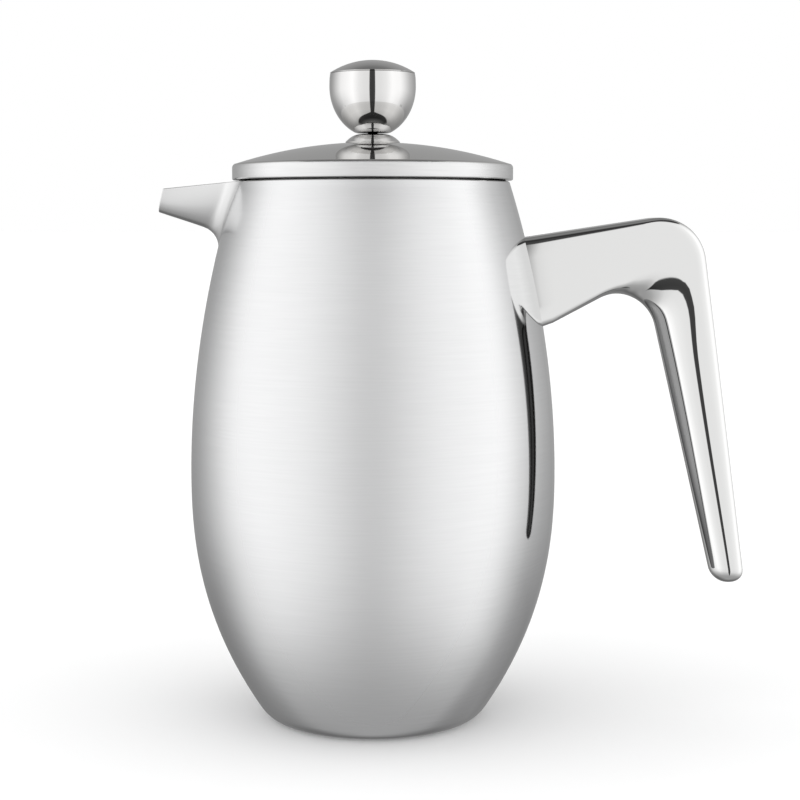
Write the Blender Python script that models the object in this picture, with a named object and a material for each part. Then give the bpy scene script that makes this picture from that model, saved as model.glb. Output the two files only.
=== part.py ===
"""A double-wall steel french press: barrel-shaped vessel, pouring spout, cast handle, domed lid and plunger.

Frame: the origin is on the vessel's axis at the plane it stands on, +Z up. The spout points to -X and the
handle to +X. The plunger is pressed down, so the knob sits on the lid's collar and the filter is at the bottom.
"""

import math

import bmesh
import bpy
from mathutils import Vector

MM = 0.001

# ---------------------------------------------------------------- driving dimensions
SHEET = 0.8 * MM              # every pressed steel sheet
GAP = 0.3 * MM                # space left between neighbouring pieces
ROUND_STEPS = 48              # facets round the large turned pieces
SMALL_STEPS = 24              # facets round the rod, its nuts and the knob

BELLY_RADIUS = 62.0 * MM      # widest point of the barrel
BELLY_Z = 83.0 * MM
BARREL_UNIT = 100.0 * MM      # the barrel's curve is stated per this much height
SHOULDER_DROP = 16.2 * MM     # how far the radius falls one unit above the belly
SHOULDER_POWER = 1.95
FOOT_DROP = 38.8 * MM         # and one unit below it
FOOT_POWER = 2.31
FOOT_RADIUS = 33.5 * MM       # where the rounded foot meets the flat base
FOOT_CURVE_Z = 4.0 * MM       # the foot's rounding ends here
BASE_RADIUS = 30.6 * MM       # flat disc that closes the barrel
RIM_Z = 182.5 * MM            # top of the vessel

BORE_RADIUS = 42.5 * MM       # straight inner wall that the filter runs in
FLOOR_Z = 14.8 * MM           # inside floor of the liner
FLOOR_CORNER = 8.0 * MM

BAND_RADIUS = 47.2 * MM       # vertical band round the lid
BAND_Z = RIM_Z + GAP          # its lower edge, just clear of the rim
DOME_EDGE_Z = RIM_Z + 5.8 * MM
DOME_TOP_Z = RIM_Z + 13.0 * MM
DOME_CORNER = 1.4 * MM
LIP_RADIUS = 45.0 * MM        # the band's edge turns in to here, under the pan
PAN_Z = RIM_Z + 1.9 * MM      # underside of the plate inside the lid
SKIRT_RADIUS = 41.0 * MM
SKIRT_Z = RIM_Z - 15.5 * MM   # lower edge of the strainer skirt
SEAL_RADIUS = 44.2 * MM

ROD_RADIUS = 2.5 * MM
THREAD_RADIUS = 1.9 * MM
THREAD_HOLE = 2.2 * MM
COLLAR_TOP_Z = RIM_Z + 15.8 * MM
COLLAR_RADIUS = 9.2 * MM
COLLAR_NECK = 4.5 * MM        # the collar's radius at its flat top, under the knob
COLLAR_POWER = 1.95           # its top falls away from the neck with this power
COLLAR_BORE = 3.7 * MM
COLLAR_MOUTH = 3.0 * MM       # its top closes in to here round the rod
STEM_RADIUS = 4.9 * MM
STEM_HOLE = 5.3 * MM
STEM_Z = RIM_Z - 4.4 * MM     # lower end of the collar's threaded stem

KNOB_Z = COLLAR_TOP_Z + GAP
KNOB_RADIUS = 14.5 * MM
KNOB_FOOT_RADIUS = 5.6 * MM
KNOB_WIDEST_Z = KNOB_Z + 15.4 * MM
KNOB_SIDE_TOP_Z = KNOB_Z + 18.2 * MM
KNOB_RIM_Z = KNOB_Z + 19.6 * MM
KNOB_RIM_RADIUS = 14.25 * MM
KNOB_TOP_Z = KNOB_Z + 24.2 * MM
KNOB_BORE = 7.5 * MM
KNOB_FLOOR_Z = KNOB_Z + 4.2 * MM  # seat of the nut inside the knob
ROD_TOP_Z = KNOB_Z + 10.6 * MM

STACK_Z = 18.6 * MM           # underside of the filter's hub nut
STACK_THREAD_TOP_Z = 31.3 * MM
SPRING_RADIUS = 40.35 * MM    # centre line of the spring round the filter
SPRING_WIRE_RADIUS = 1.7 * MM

# Spout: a V-shaped trough. Distances from the axis run outwards, and the script points them to -X.
SPOUT_TIP_X = 71.1 * MM
SPOUT_ROOT_X = 43.6 * MM
SPOUT_TIP_TOP_Z = 180.0 * MM
SPOUT_ROOT_TOP_Z = 182.4 * MM
SPOUT_TIP_KEEL_Z = 172.2 * MM
SPOUT_KEEL_SLOPE = 0.357
SPOUT_FLARE_X = 58.0 * MM     # the outside sweeps down into the barrel from here
SPOUT_FLARE_DROP = 5.0 * MM
SPOUT_FLARE_LENGTH = 5.0 * MM
SPOUT_LOWEST_Z = 159.0 * MM
SPOUT_TIP_WIDTH = 5.2 * MM    # half widths at the top edge
SPOUT_ROOT_WIDTH = 12.2 * MM
SPOUT_TIP_POWER = 2.1         # 1 is a straight V, 2 is a round trough
SPOUT_ROOT_POWER = 1.3
SPOUT_TIP_LEAN = 0.27         # the lower lip stands further out than the upper one
SPOUT_WALL = 1.2 * MM

# Handle: two outlines in the XZ plane, each a line, a round corner and a line, in millimetres. A place on
# an outline is 0 to 1 along the arm, 1 to 2 round the corner and 2 to 3 down the grip.
HANDLE_OUTER = ((50.8, 163.7), (109.6, 172.6), (126.95, 50.5))
HANDLE_OUTER_CORNER = 16.0
HANDLE_INNER = ((58.1, 133.9), (91.9, 151.4), (115.8, 50.5))
HANDLE_INNER_CORNER = 14.0
# Places on the inner outline that face places on the outer one.
HANDLE_FACING = ((0.0, 0.0), (0.5, 1.0), (1.0, 1.25), (1.5, 1.5), (2.0, 1.85), (2.2, 2.05), (3.0, 3.0))
HANDLE_THICKNESS = ((0.0, 19.6), (1.0, 18.0), (2.0, 16.6), (3.0, 11.0))
# The outer edges are rounded over a depth across the handle and a height off its side face.
HANDLE_OUTER_DEPTH = ((0.0, 2.7), (1.0, 2.4), (1.6, 4.0), (2.0, 4.8), (2.2, 4.8), (3.0, 3.8))
HANDLE_OUTER_ROUND = ((0.0, 2.7), (1.0, 2.2), (2.0, 1.7), (3.0, 1.5))
# The inner side is a superellipse: its depth, its share of the half thickness, and its power.
HANDLE_INNER_DEPTH = ((0.0, 2.6), (0.6, 3.2), (1.0, 5.0), (1.3, 9.8), (1.6, 14.0), (2.0, 16.0), (2.1, 14.2),
                      (2.3, 11.0), (3.0, 6.7))
HANDLE_INNER_SHARE = ((0.0, 0.28), (0.5, 0.5), (1.0, 0.85), (2.0, 0.96), (3.0, 0.96))
HANDLE_INNER_POWER = ((0.0, 2.0), (1.0, 2.3), (1.3, 2.3), (1.6, 1.9), (2.0, 1.7), (3.0, 1.7))
HANDLE_ARM_STEPS = 6
HANDLE_CORNER_STEPS = 8
HANDLE_GRIP_STEPS = 7
HANDLE_END_LENGTH = 5.7

# ---------------------------------------------------------------- finishes
FINISHES = {
    "brushed_steel": ((0.62, 0.62, 0.63, 1.0), 0.32, 1.0),
    "polished_steel": ((0.74, 0.73, 0.71, 1.0), 0.06, 1.0),
    "satin_steel": ((0.60, 0.60, 0.60, 1.0), 0.28, 1.0),
    "spring_wire": ((0.68, 0.67, 0.65, 1.0), 0.18, 1.0),
    "woven_wire": ((0.45, 0.45, 0.44, 1.0), 0.42, 1.0),
    "seal_rubber": ((0.02, 0.02, 0.022, 1.0), 0.65, 0.0),
    "bush_plastic": ((0.86, 0.85, 0.82, 1.0), 0.45, 0.0),
}


def clear_scene():
    for obj in list(bpy.data.objects):
        bpy.data.objects.remove(obj)


def finish_of(name):
    """The shared Principled material of this name."""
    material = bpy.data.materials.get(name)
    if material is None:
        colour, roughness, metallic = FINISHES[name]
        material = bpy.data.materials.new(name)
        material.use_nodes = True
        shader = material.node_tree.nodes["Principled BSDF"]
        shader.inputs["Base Color"].default_value = colour
        shader.inputs["Roughness"].default_value = roughness
        shader.inputs["Metallic"].default_value = metallic
        material.diffuse_color = colour
    return material


def add_piece(name, mesh_builder, finish, sharp_degrees=35.0):
    """Turns a finished bmesh into a smooth-shaded object of this name."""
    mesh = bpy.data.meshes.new(name)
    bmesh.ops.recalc_face_normals(mesh_builder, faces=mesh_builder.faces[:])
    mesh_builder.to_mesh(mesh)
    mesh_builder.free()
    mesh.shade_smooth()
    mesh.set_sharp_from_angle(angle=math.radians(sharp_degrees))
    obj = bpy.data.objects.new(name, mesh)
    bpy.context.scene.collection.objects.link(obj)
    if finish is not None:
        obj.data.materials.append(finish_of(finish))
    return obj


def cutter(name, mesh_builder):
    """A helper solid that only cuts others."""
    obj = add_piece(name, mesh_builder, None)
    obj.hide_render = True
    obj.display_type = "WIRE"
    return obj


def cut(obj, *tools):
    for tool in tools:
        modifier = obj.modifiers.new("cut_" + tool.name, "BOOLEAN")
        modifier.operation = "DIFFERENCE"
        modifier.solver = "EXACT"
        modifier.object = tool


# ---------------------------------------------------------------- profiles in (radius, height)
def arc(centre, radius, start, end, steps):
    """Points of a circular arc, in degrees, first and last included."""
    angles = [math.radians(start + (end - start) * k / steps) for k in range(steps + 1)]
    return [(centre[0] + radius * math.cos(a), centre[1] + radius * math.sin(a)) for a in angles]


def bend(start, corner, end, steps):
    """A quadratic curve that rounds a corner, first and last points included."""
    points = []
    for k in range(steps + 1):
        t = k / steps
        a, b, c = (1 - t) ** 2, 2 * t * (1 - t), t * t
        points.append(tuple(a * start[i] + b * corner[i] + c * end[i] for i in (0, 1)))
    return points


def sheet_loop(path, thickness, side=1):
    """A closed outline of this thickness along one side of a path: 1 is to the left of its direction."""
    offset = []
    for k, (r, z) in enumerate(path):
        before = Vector(path[max(k - 1, 0)])
        after = Vector(path[min(k + 1, len(path) - 1)])
        here = Vector((r, z))
        first = (here - before) if k else (after - here)
        second = (after - here) if k < len(path) - 1 else first
        n1 = Vector((-first.y, first.x)).normalized()
        n2 = Vector((-second.y, second.x)).normalized()
        mean = (n1 + n2).normalized()
        reach = thickness / max(mean.dot(n1), 0.5)
        moved = here + side * reach * mean
        offset.append((max(moved.x, 0.0), moved.y))
    return path + offset[::-1]


def turned_mesh(loop, steps):
    """Spins a closed outline about Z. Points on the axis are merged into one."""
    bm = bmesh.new()
    verts = [bm.verts.new((r, 0.0, z)) for r, z in loop]
    pairs = zip(verts, verts[1:] + verts[:1])
    on_axis = 1e-9
    edges = [bm.edges.new(p) for p in pairs if p[0].co.x > on_axis or p[1].co.x > on_axis]
    bmesh.ops.spin(
        bm, geom=verts + edges, cent=(0, 0, 0), axis=(0, 0, 1),
        angle=math.tau, steps=steps, use_duplicate=False,
    )
    bmesh.ops.remove_doubles(bm, verts=bm.verts[:], dist=1e-7)
    return bm


def turned(name, loop, finish, steps=ROUND_STEPS):
    return add_piece(name, turned_mesh(loop, steps), finish)


def hexagon_nut_mesh(across_flats, hole, z_low, z_high, steps=24):
    """A hexagon nut: two rings, outside and hole, joined by quads. The steps divide by six."""
    sixth = math.tau / 6
    bm = bmesh.new()
    rings = []
    for radius, z in ((None, z_low), (None, z_high), (hole, z_high), (hole, z_low)):
        ring = []
        for k in range(steps):
            angle = math.tau * k / steps
            off_flat = (angle + sixth / 2) % sixth - sixth / 2
            reach = across_flats / 2 / math.cos(off_flat) if radius is None else radius
            ring.append(bm.verts.new((reach * math.cos(angle), reach * math.sin(angle), z)))
        rings.append(ring)
    join_rings(bm, rings + rings[:1], closed=True)
    return bm


# ---------------------------------------------------------------- vessel
def barrel_radius(z):
    """Outer radius of the barrel at this height."""
    rise = (z - BELLY_Z) / BARREL_UNIT
    if rise >= 0:
        return BELLY_RADIUS - SHOULDER_DROP * rise ** SHOULDER_POWER
    return BELLY_RADIUS - FOOT_DROP * (-rise) ** FOOT_POWER


def make_outer_shell():
    """Barrel of one sheet: flat foot ring, rounded foot, long curve, and a rim turned in."""
    rows = 14
    top = RIM_Z - 1.3 * MM
    foot = bend((FOOT_RADIUS, 0.0), (barrel_radius(0.0), 0.0),
                (barrel_radius(FOOT_CURVE_Z), FOOT_CURVE_Z), 4)
    heights = [FOOT_CURVE_Z + (top - FOOT_CURVE_Z) * (k / rows) for k in range(1, rows + 1)]
    wall = [(barrel_radius(z), z) for z in heights]
    rim_radius = barrel_radius(top)
    rim = bend((rim_radius, top), (rim_radius - 0.3 * MM, RIM_Z - 0.2 * MM),
               (rim_radius - 1.2 * MM, RIM_Z - 0.2 * MM), 3)[1:]
    path = [(BASE_RADIUS + 0.4 * MM, 0.0)] + foot + wall + rim + [(44.6 * MM, RIM_Z - 0.2 * MM)]
    shell = turned("outer_shell", sheet_loop(path, SHEET), "brushed_steel")
    notch = cutter("spout_notch", spout_solid_mesh(GAP, BORE_RADIUS + SHEET + GAP / 2))
    cut(shell, notch)
    return notch


def make_inner_liner(notch):
    """Straight-walled cup inside the barrel. Its lip meets the barrel's rim, and a channel opens to the spout."""
    corner = arc((BORE_RADIUS - FLOOR_CORNER, FLOOR_Z + FLOOR_CORNER), FLOOR_CORNER, -90, 0, 6)
    lip = arc((BORE_RADIUS + 1.0 * MM, RIM_Z - 1.0 * MM), 1.0 * MM, 180, 90, 3)
    path = [(0.0, FLOOR_Z)] + corner + [(BORE_RADIUS, 100 * MM)] + lip + [(44.2 * MM, RIM_Z)]
    liner = turned("inner_liner", sheet_loop(path, SHEET, side=-1), "satin_steel")
    cut(liner, notch, cutter("spout_channel", spout_solid_mesh(-SPOUT_WALL, BORE_RADIUS - 8 * MM)))
    return liner


def make_base_plate():
    loop = [(0.0, 0.0), (BASE_RADIUS, 0.0), (BASE_RADIUS, SHEET), (0.0, SHEET)]
    return turned("base_plate", loop, "satin_steel")


def spout_station(x, flared):
    """Top height, keel height, half width and section power of the spout at this distance from the axis."""
    share = min(1.0, max(0.0, (SPOUT_TIP_X - x) / (SPOUT_TIP_X - SPOUT_ROOT_X)))
    top = SPOUT_TIP_TOP_Z + (SPOUT_ROOT_TOP_Z - SPOUT_TIP_TOP_Z) * share
    keel = SPOUT_TIP_KEEL_Z - SPOUT_KEEL_SLOPE * (SPOUT_TIP_X - x)
    if flared:
        flare = min(1.0, max(0.0, (SPOUT_FLARE_X - x) / SPOUT_FLARE_LENGTH)) ** 2
        keel = max(keel - SPOUT_FLARE_DROP * flare, SPOUT_LOWEST_Z)
    width = SPOUT_TIP_WIDTH + (SPOUT_ROOT_WIDTH - SPOUT_TIP_WIDTH) * share ** 1.25
    power = SPOUT_TIP_POWER + (SPOUT_ROOT_POWER - SPOUT_TIP_POWER) * share
    return top, keel, width, power


def spout_section(x, grow, steps=12):
    """Points (y, z) of the section at x, moved out by grow, from one top edge round the keel to the other."""
    top, keel, width, power = spout_station(x, flared=grow >= 0)
    width, depth = width + grow, top - keel + grow
    points = []
    for k in range(steps + 1):
        angle = math.pi * k / steps
        side = 1 if k <= steps / 2 else -1
        y = side * width * abs(math.cos(angle)) ** (2 / power)
        z = top - depth * abs(math.sin(angle)) ** (2 / power)
        points.append((y, z))
    return points


def spout_rows(grow, root_radius, count=11):
    """Sections from the tip to the root. The tip leans out at its keel, and the root lies on a cylinder."""
    rows = []
    for k in range(count):
        share = k / (count - 1)
        x = SPOUT_TIP_X + (SPOUT_ROOT_X - SPOUT_TIP_X) * share
        points = spout_section(x, grow)
        lean = SPOUT_TIP_LEAN * max(0.0, 1 - 2 * share)
        row = [(-(x + lean * (points[0][1] - z - 4 * MM)), y, z) for y, z in points]
        if k == count - 1:
            row = [(-math.sqrt(root_radius ** 2 - y ** 2), y, z) for y, z in points]
        rows.append(row)
    return rows


def spout_solid_mesh(grow, inner_radius):
    """A solid of the spout's outline moved out by grow, open above the rim and ending on an inner cylinder."""
    bm = bmesh.new()
    above = RIM_Z + 20 * MM
    rings = []
    for x in (76.0, 66.0, 60.0, 58.0, 56.5, 55.0, 53.0, 50.0, 44.0):
        points = spout_section(x * MM, grow)
        rings.append([(-x * MM, y, z) for y, z in [(points[0][0], above)] + points + [(points[-1][0], above)]])
    rings.append([(-math.sqrt(inner_radius ** 2 - y ** 2), y, z) for _, y, z in rings[-1]])
    rings = [[bm.verts.new(p) for p in ring] for ring in rings]
    join_rings(bm, rings, closed=True)
    for ring in (rings[0], rings[-1]):
        close_mirrored_ring(bm, ring)
    bmesh.ops.recalc_face_normals(bm, faces=bm.faces[:])
    return bm


def close_mirrored_ring(bm, ring):
    """Closes a ring whose first half mirrors its second, with rungs straight across."""
    count = len(ring)
    for k in range((count - 1) // 2):
        corners = [ring[k], ring[k + 1], ring[count - 2 - k], ring[count - 1 - k]]
        bm.faces.new(list(dict.fromkeys(corners)))


def join_rings(bm, rings, closed):
    """Quads between neighbouring rows of vertices."""
    for first, second in zip(rings, rings[1:]):
        count = len(first)
        for k in range(count if closed else count - 1):
            n = (k + 1) % count
            bm.faces.new((first[k], first[n], second[n], second[k]))


def make_spout():
    """Open trough that runs from the liner, through the barrel's notch, to the pouring lip."""
    root = BORE_RADIUS + SHEET + GAP
    outside, inside = spout_rows(0.0, root), spout_rows(-SPOUT_WALL, root)
    bm = bmesh.new()
    rings = [[bm.verts.new(p) for p in out_row + in_row[::-1]]
             for out_row, in_row in zip(outside, inside)]
    join_rings(bm, rings, closed=True)
    half = len(outside[0])
    for ring in (rings[0], rings[-1]):
        for k in range(half - 1):
            bm.faces.new((ring[k], ring[k + 1], ring[-k - 2], ring[-k - 1]))
    return add_piece("spout", bm, "polished_steel", sharp_degrees=50)


# ---------------------------------------------------------------- handle
def value_along(table, t):
    """Straight-line reading of a (place, value) table."""
    for (t0, v0), (t1, v1) in zip(table, table[1:]):
        if t <= t1:
            return v0 + (v1 - v0) * (t - t0) / (t1 - t0)
    return table[-1][1]


def rounded_corner_path(points, radius, t):
    """A point on line, arc, line. t runs 0 to 1 on the first line, 1 to 2 on the arc, 2 to 3 on the last line."""
    start, corner, end = (Vector(p) for p in points)
    back, ahead = (start - corner).normalized(), (end - corner).normalized()
    half = back.angle(ahead) / 2
    reach = radius / math.tan(half)
    first, last = corner + back * reach, corner + ahead * reach
    centre = corner + (back + ahead).normalized() * (radius / math.sin(half))
    if t <= 1:
        return start.lerp(first, t)
    if t >= 2:
        return last.lerp(end, t - 2)
    a, b = first - centre, last - centre
    turn = a.angle(b) * (t - 1)
    across = (b - a * (a.dot(b) / a.dot(a))).normalized() * a.length
    return centre + a * math.cos(turn) + across * math.sin(turn)


def handle_section(width, thickness, outer_depth, outer_round, inner_depth, inner_share, inner_power, steps=4):
    """Half of the cross-section as (across, sideways) points: flat outer face, flat side, round inner side."""
    half = thickness / 2
    quarter = [math.radians(90 * k / steps) for k in range(steps + 1)]
    outer = [(outer_depth * (1 - math.cos(a)), half - outer_round * (1 - math.sin(a))) for a in quarter]
    bend_power = 2 / inner_power
    inner = [(width - inner_depth * (1 - math.sin(a) ** bend_power),
              half - half * inner_share * (1 - abs(math.cos(a)) ** bend_power)) for a in quarter]
    first, last = outer[-1][0], inner[0][0]
    side = [(first + (last - first) * k / 3, half) for k in (1, 2)]
    return [(0.0, 0.0)] + outer + side + inner + [(width, 0.0)]


def handle_row(place):
    """Vertices of the closed section at this place on the outer outline, in millimetres."""
    outer = rounded_corner_path(HANDLE_OUTER, HANDLE_OUTER_CORNER, place)
    inner = rounded_corner_path(HANDLE_INNER, HANDLE_INNER_CORNER, value_along(HANDLE_FACING, place))
    across = inner - outer
    tables = (HANDLE_THICKNESS, HANDLE_OUTER_DEPTH, HANDLE_OUTER_ROUND, HANDLE_INNER_DEPTH, HANDLE_INNER_SHARE,
              HANDLE_INNER_POWER)
    half = handle_section(across.length, *(value_along(table, place) for table in tables))
    along = across.normalized()
    spots = [(outer + along * u, v) for u, v in half]
    ring = spots + [(p, -v) for p, v in reversed(spots[1:-1])]
    return [Vector((p.x, v, p.y)) for p, v in ring]


def make_handle():
    """One casting: a deep arm off the barrel, a round elbow, and a tapered grip with a free end."""
    places = [k / HANDLE_ARM_STEPS for k in range(HANDLE_ARM_STEPS)]
    places += [1 + k / HANDLE_CORNER_STEPS for k in range(HANDLE_CORNER_STEPS)]
    places += [2 + k / HANDLE_GRIP_STEPS for k in range(HANDLE_GRIP_STEPS + 1)]
    rows = [handle_row(place) for place in places]
    for point in rows[0]:
        reach = (barrel_radius(point.z * MM) + GAP) / MM
        point.x = math.sqrt(reach ** 2 - point.y ** 2)
    end = rows[-1]
    middle = (end[0] + end[len(end) // 2]) / 2
    grip = Vector(HANDLE_OUTER[2]) + Vector(HANDLE_INNER[2]) - Vector(HANDLE_OUTER[1]) - Vector(HANDLE_INNER[1])
    down = Vector((grip.x, 0.0, grip.y)).normalized()
    for degrees in (25, 48, 66, 80):
        a = math.radians(degrees)
        shift = down * (HANDLE_END_LENGTH * math.sin(a))
        rows.append([middle + (p - middle) * math.cos(a) + shift for p in end])
    bm = bmesh.new()
    rings = [[bm.verts.new(p * MM) for p in row] for row in rows]
    join_rings(bm, rings, closed=True)
    close_on_axis(bm, rings[0])
    close_on_axis(bm, rings[-1])
    bmesh.ops.triangulate(bm, faces=bm.faces[:])
    return add_piece("handle", bm, "polished_steel", sharp_degrees=50)


def close_on_axis(bm, ring):
    """Closes a ring that starts and turns back on its own middle line, with a row of points down that line."""
    turn = len(ring) // 2
    left, right = ring[1:turn], ring[:turn:-1]
    spine = []
    for a, b in zip(left, right):
        point = (a.co + b.co) / 2
        point.x += math.hypot(a.co.x, a.co.y) - a.co.x if ring[0].co.x < BELLY_RADIUS else 0.0
        spine.append(bm.verts.new(point))
    for side in (left, right):
        for k in range(len(spine) - 1):
            bm.faces.new((side[k], side[k + 1], spine[k + 1], spine[k]))
        bm.faces.new((ring[0], side[0], spine[0]))
        bm.faces.new((ring[turn], side[-1], spine[-1]))


# ---------------------------------------------------------------- lid
def dome_height(radius):
    """Height of the lid's outer surface at this radius: a shallow spherical cap."""
    edge = BAND_RADIUS - DOME_CORNER
    sag = DOME_TOP_Z - DOME_EDGE_Z
    sphere = (edge ** 2 + sag ** 2) / (2 * sag)
    return DOME_TOP_Z - sphere + math.sqrt(sphere ** 2 - radius ** 2)


def make_lid_seal():
    loop = [(SKIRT_RADIUS + GAP, RIM_Z + GAP), (SEAL_RADIUS, RIM_Z + GAP),
            (SEAL_RADIUS, PAN_Z - GAP), (SKIRT_RADIUS + GAP, PAN_Z - GAP)]
    return turned("lid_seal", loop, "seal_rubber")


def make_lid_dome():
    """Spherical top, vertical band, and the band's lower edge turned in to hold the pan."""
    rows = 7
    edge = BAND_RADIUS - DOME_CORNER
    dome = [(STEM_HOLE + (edge - STEM_HOLE) * k / rows) for k in range(rows + 1)]
    path = [(r, dome_height(r)) for r in dome]
    path += arc((edge, DOME_EDGE_Z - DOME_CORNER), DOME_CORNER, 60, 0, 3)
    path += [(BAND_RADIUS, BAND_Z + 0.5 * MM), (BAND_RADIUS - 0.5 * MM, BAND_Z), (LIP_RADIUS, BAND_Z)]
    return turned("lid_dome", sheet_loop(path, SHEET, side=-1), "polished_steel")


def make_lid_pan():
    """Flat plate inside the lid with an upturned edge."""
    radius = BAND_RADIUS - SHEET - GAP
    path = [(STEM_HOLE, PAN_Z), (radius - 0.8 * MM, PAN_Z), (radius, PAN_Z + 0.8 * MM),
            (radius, PAN_Z + 2.4 * MM)]
    return turned("lid_pan", sheet_loop(path, SHEET), "satin_steel")


def make_strainer_skirt():
    """Ring below the lid that centres it in the bore. Its slots face the spout."""
    inner = SKIRT_RADIUS - SHEET
    loop = [(SKIRT_RADIUS, SKIRT_Z), (SKIRT_RADIUS, PAN_Z - GAP), (inner, PAN_Z - GAP), (inner, SKIRT_Z)]
    skirt = turned("strainer_skirt", loop, "satin_steel")
    slots = bmesh.new()
    slot_count, slot_pitch = 9, 4.2
    slot_width, slot_low, slot_high = 1.6 * MM, SKIRT_Z + 2.2 * MM, SKIRT_Z + 12.4 * MM
    for k in range(slot_count):
        angle = 180 + slot_pitch * (k - (slot_count - 1) / 2)
        add_slot(slots, math.radians(angle), slot_width, slot_low, slot_high)
    cut(skirt, cutter("strainer_slots", slots))
    return skirt


def add_slot(bm, angle, width, low, high):
    """An upright block through the skirt's wall at this angle."""
    made = bmesh.ops.create_cube(bm, size=1.0)["verts"]
    depth = 4 * MM
    for vert in made:
        out = SKIRT_RADIUS + vert.co.x * depth
        side = vert.co.y * width
        vert.co = (out * math.cos(angle) - side * math.sin(angle),
                   out * math.sin(angle) + side * math.cos(angle),
                   (low + high) / 2 + vert.co.z * (high - low))


def make_guide_collar():
    """Turned ferrule through the lid: a flared ring on the dome and a threaded stem below it."""
    foot = dome_height(COLLAR_RADIUS) + GAP
    brim = foot + 0.3 * MM
    steps = 6
    shares = [1 - k / steps for k in range(steps + 1)]
    flare = [(COLLAR_NECK + (COLLAR_RADIUS - COLLAR_NECK) * share,
              brim + (COLLAR_TOP_Z - brim) * (1 - share ** COLLAR_POWER)) for share in shares]
    loop = [(STEM_RADIUS, STEM_Z), (STEM_RADIUS, dome_height(STEM_RADIUS) + GAP), (COLLAR_RADIUS, foot)]
    loop += flare + [(COLLAR_MOUTH, COLLAR_TOP_Z), (COLLAR_MOUTH, COLLAR_TOP_Z - MM),
                     (COLLAR_BORE, COLLAR_TOP_Z - MM), (COLLAR_BORE, STEM_Z)]
    return turned("guide_collar", loop, "polished_steel", SMALL_STEPS)


def make_collar_nut():
    nut = hexagon_nut_mesh(14 * MM, STEM_RADIUS + GAP, PAN_Z - 4.5 * MM, PAN_Z - GAP)
    return add_piece("collar_nut", nut, "satin_steel")


def make_rod_bush():
    """Plastic sleeve in the collar that the rod slides through, with a flange at its foot."""
    bore, outside, flange = ROD_RADIUS + 0.2 * MM, COLLAR_BORE - GAP, 4.7 * MM
    low, high, top = STEM_Z - 1.4 * MM, STEM_Z - GAP, COLLAR_TOP_Z - MM - GAP
    loop = [(bore, low), (flange, low), (flange, high), (outside, high), (outside, top), (bore, top)]
    return turned("rod_bush", loop, "bush_plastic", SMALL_STEPS)


# ---------------------------------------------------------------- plunger
def make_plunger_rod():
    foot = STACK_Z + 1.3 * MM
    loop = [(0.0, foot), (THREAD_RADIUS, foot), (THREAD_RADIUS, STACK_THREAD_TOP_Z),
            (ROD_RADIUS, STACK_THREAD_TOP_Z), (ROD_RADIUS, COLLAR_TOP_Z), (THREAD_RADIUS, COLLAR_TOP_Z),
            (THREAD_RADIUS, ROD_TOP_Z), (0.0, ROD_TOP_Z)]
    return turned("plunger_rod", loop, "polished_steel", SMALL_STEPS)


def make_knob_cup():
    """Egg-cup body of the knob, bored for the nut that holds it."""
    lowest = math.acos(KNOB_FOOT_RADIUS / KNOB_RADIUS)
    height = (KNOB_WIDEST_Z - KNOB_Z) / math.sin(lowest)
    rows = 9
    side = [(KNOB_RADIUS * math.cos(a), KNOB_WIDEST_Z - height * math.sin(a))
            for a in (lowest * (1 - k / rows) for k in range(rows + 1))]
    loop = [(THREAD_HOLE, KNOB_Z)] + side + [(KNOB_RADIUS, KNOB_SIDE_TOP_Z), (KNOB_RIM_RADIUS, KNOB_RIM_Z)]
    loop += [(KNOB_BORE, KNOB_RIM_Z), (KNOB_BORE, KNOB_FLOOR_Z), (THREAD_HOLE, KNOB_FLOOR_Z)]
    return turned("knob_cup", loop, "polished_steel", SMALL_STEPS)


def make_knob_cap():
    """Domed button pressed into the cup's bore."""
    low, spigot = KNOB_RIM_Z + GAP, KNOB_BORE - GAP
    sag = KNOB_TOP_Z - low - 0.3 * MM
    sphere = (KNOB_RIM_RADIUS ** 2 + sag ** 2) / (2 * sag)
    rows = 6
    radii = [KNOB_RIM_RADIUS * k / rows for k in range(rows, -1, -1)]
    dome = [(r, KNOB_TOP_Z - sphere + math.sqrt(sphere ** 2 - r ** 2)) for r in radii]
    loop = [(0.0, low - 3 * MM), (spigot, low - 3 * MM), (spigot, low), (KNOB_RIM_RADIUS, low)] + dome
    return turned("knob_cap", loop, "polished_steel", SMALL_STEPS)


def make_knob_washer():
    low, high = KNOB_FLOOR_Z + GAP, KNOB_FLOOR_Z + GAP + SHEET
    loop = [(THREAD_HOLE, low), (5.0 * MM, low), (5.0 * MM, high), (THREAD_HOLE, high)]
    return turned("knob_washer", loop, "satin_steel", SMALL_STEPS)


def make_knob_nut():
    low = KNOB_FLOOR_Z + SHEET + 2 * GAP
    return add_piece("knob_nut", hexagon_nut_mesh(8 * MM, THREAD_HOLE, low, low + 3.6 * MM), "satin_steel")


def make_hub_nut():
    """Domed cap nut that holds the filter plates on the rod."""
    top = STACK_Z + 4.2 * MM
    loop = [(0.0, STACK_Z), (4.6 * MM, STACK_Z), (6.4 * MM, STACK_Z + 1.2 * MM), (6.4 * MM, top),
            (THREAD_HOLE, top), (THREAD_HOLE, STACK_Z + MM), (0.0, STACK_Z + MM)]
    return turned("hub_nut", loop, "satin_steel", SMALL_STEPS)


def make_cross_plate():
    """Lowest plate: eight large openings and a turned-down edge."""
    z = 23.1 * MM
    path = [(THREAD_HOLE, z), (37.3 * MM, z), (38.4 * MM, z - 1.0 * MM), (38.4 * MM, z - 2.6 * MM)]
    plate = turned("cross_plate", sheet_loop(path, SHEET), "satin_steel")
    cut(plate, cutter("cross_openings", hole_ring_mesh([(8, 22.5, 6.6, 0.0)], z, 10)))
    return plate


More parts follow.
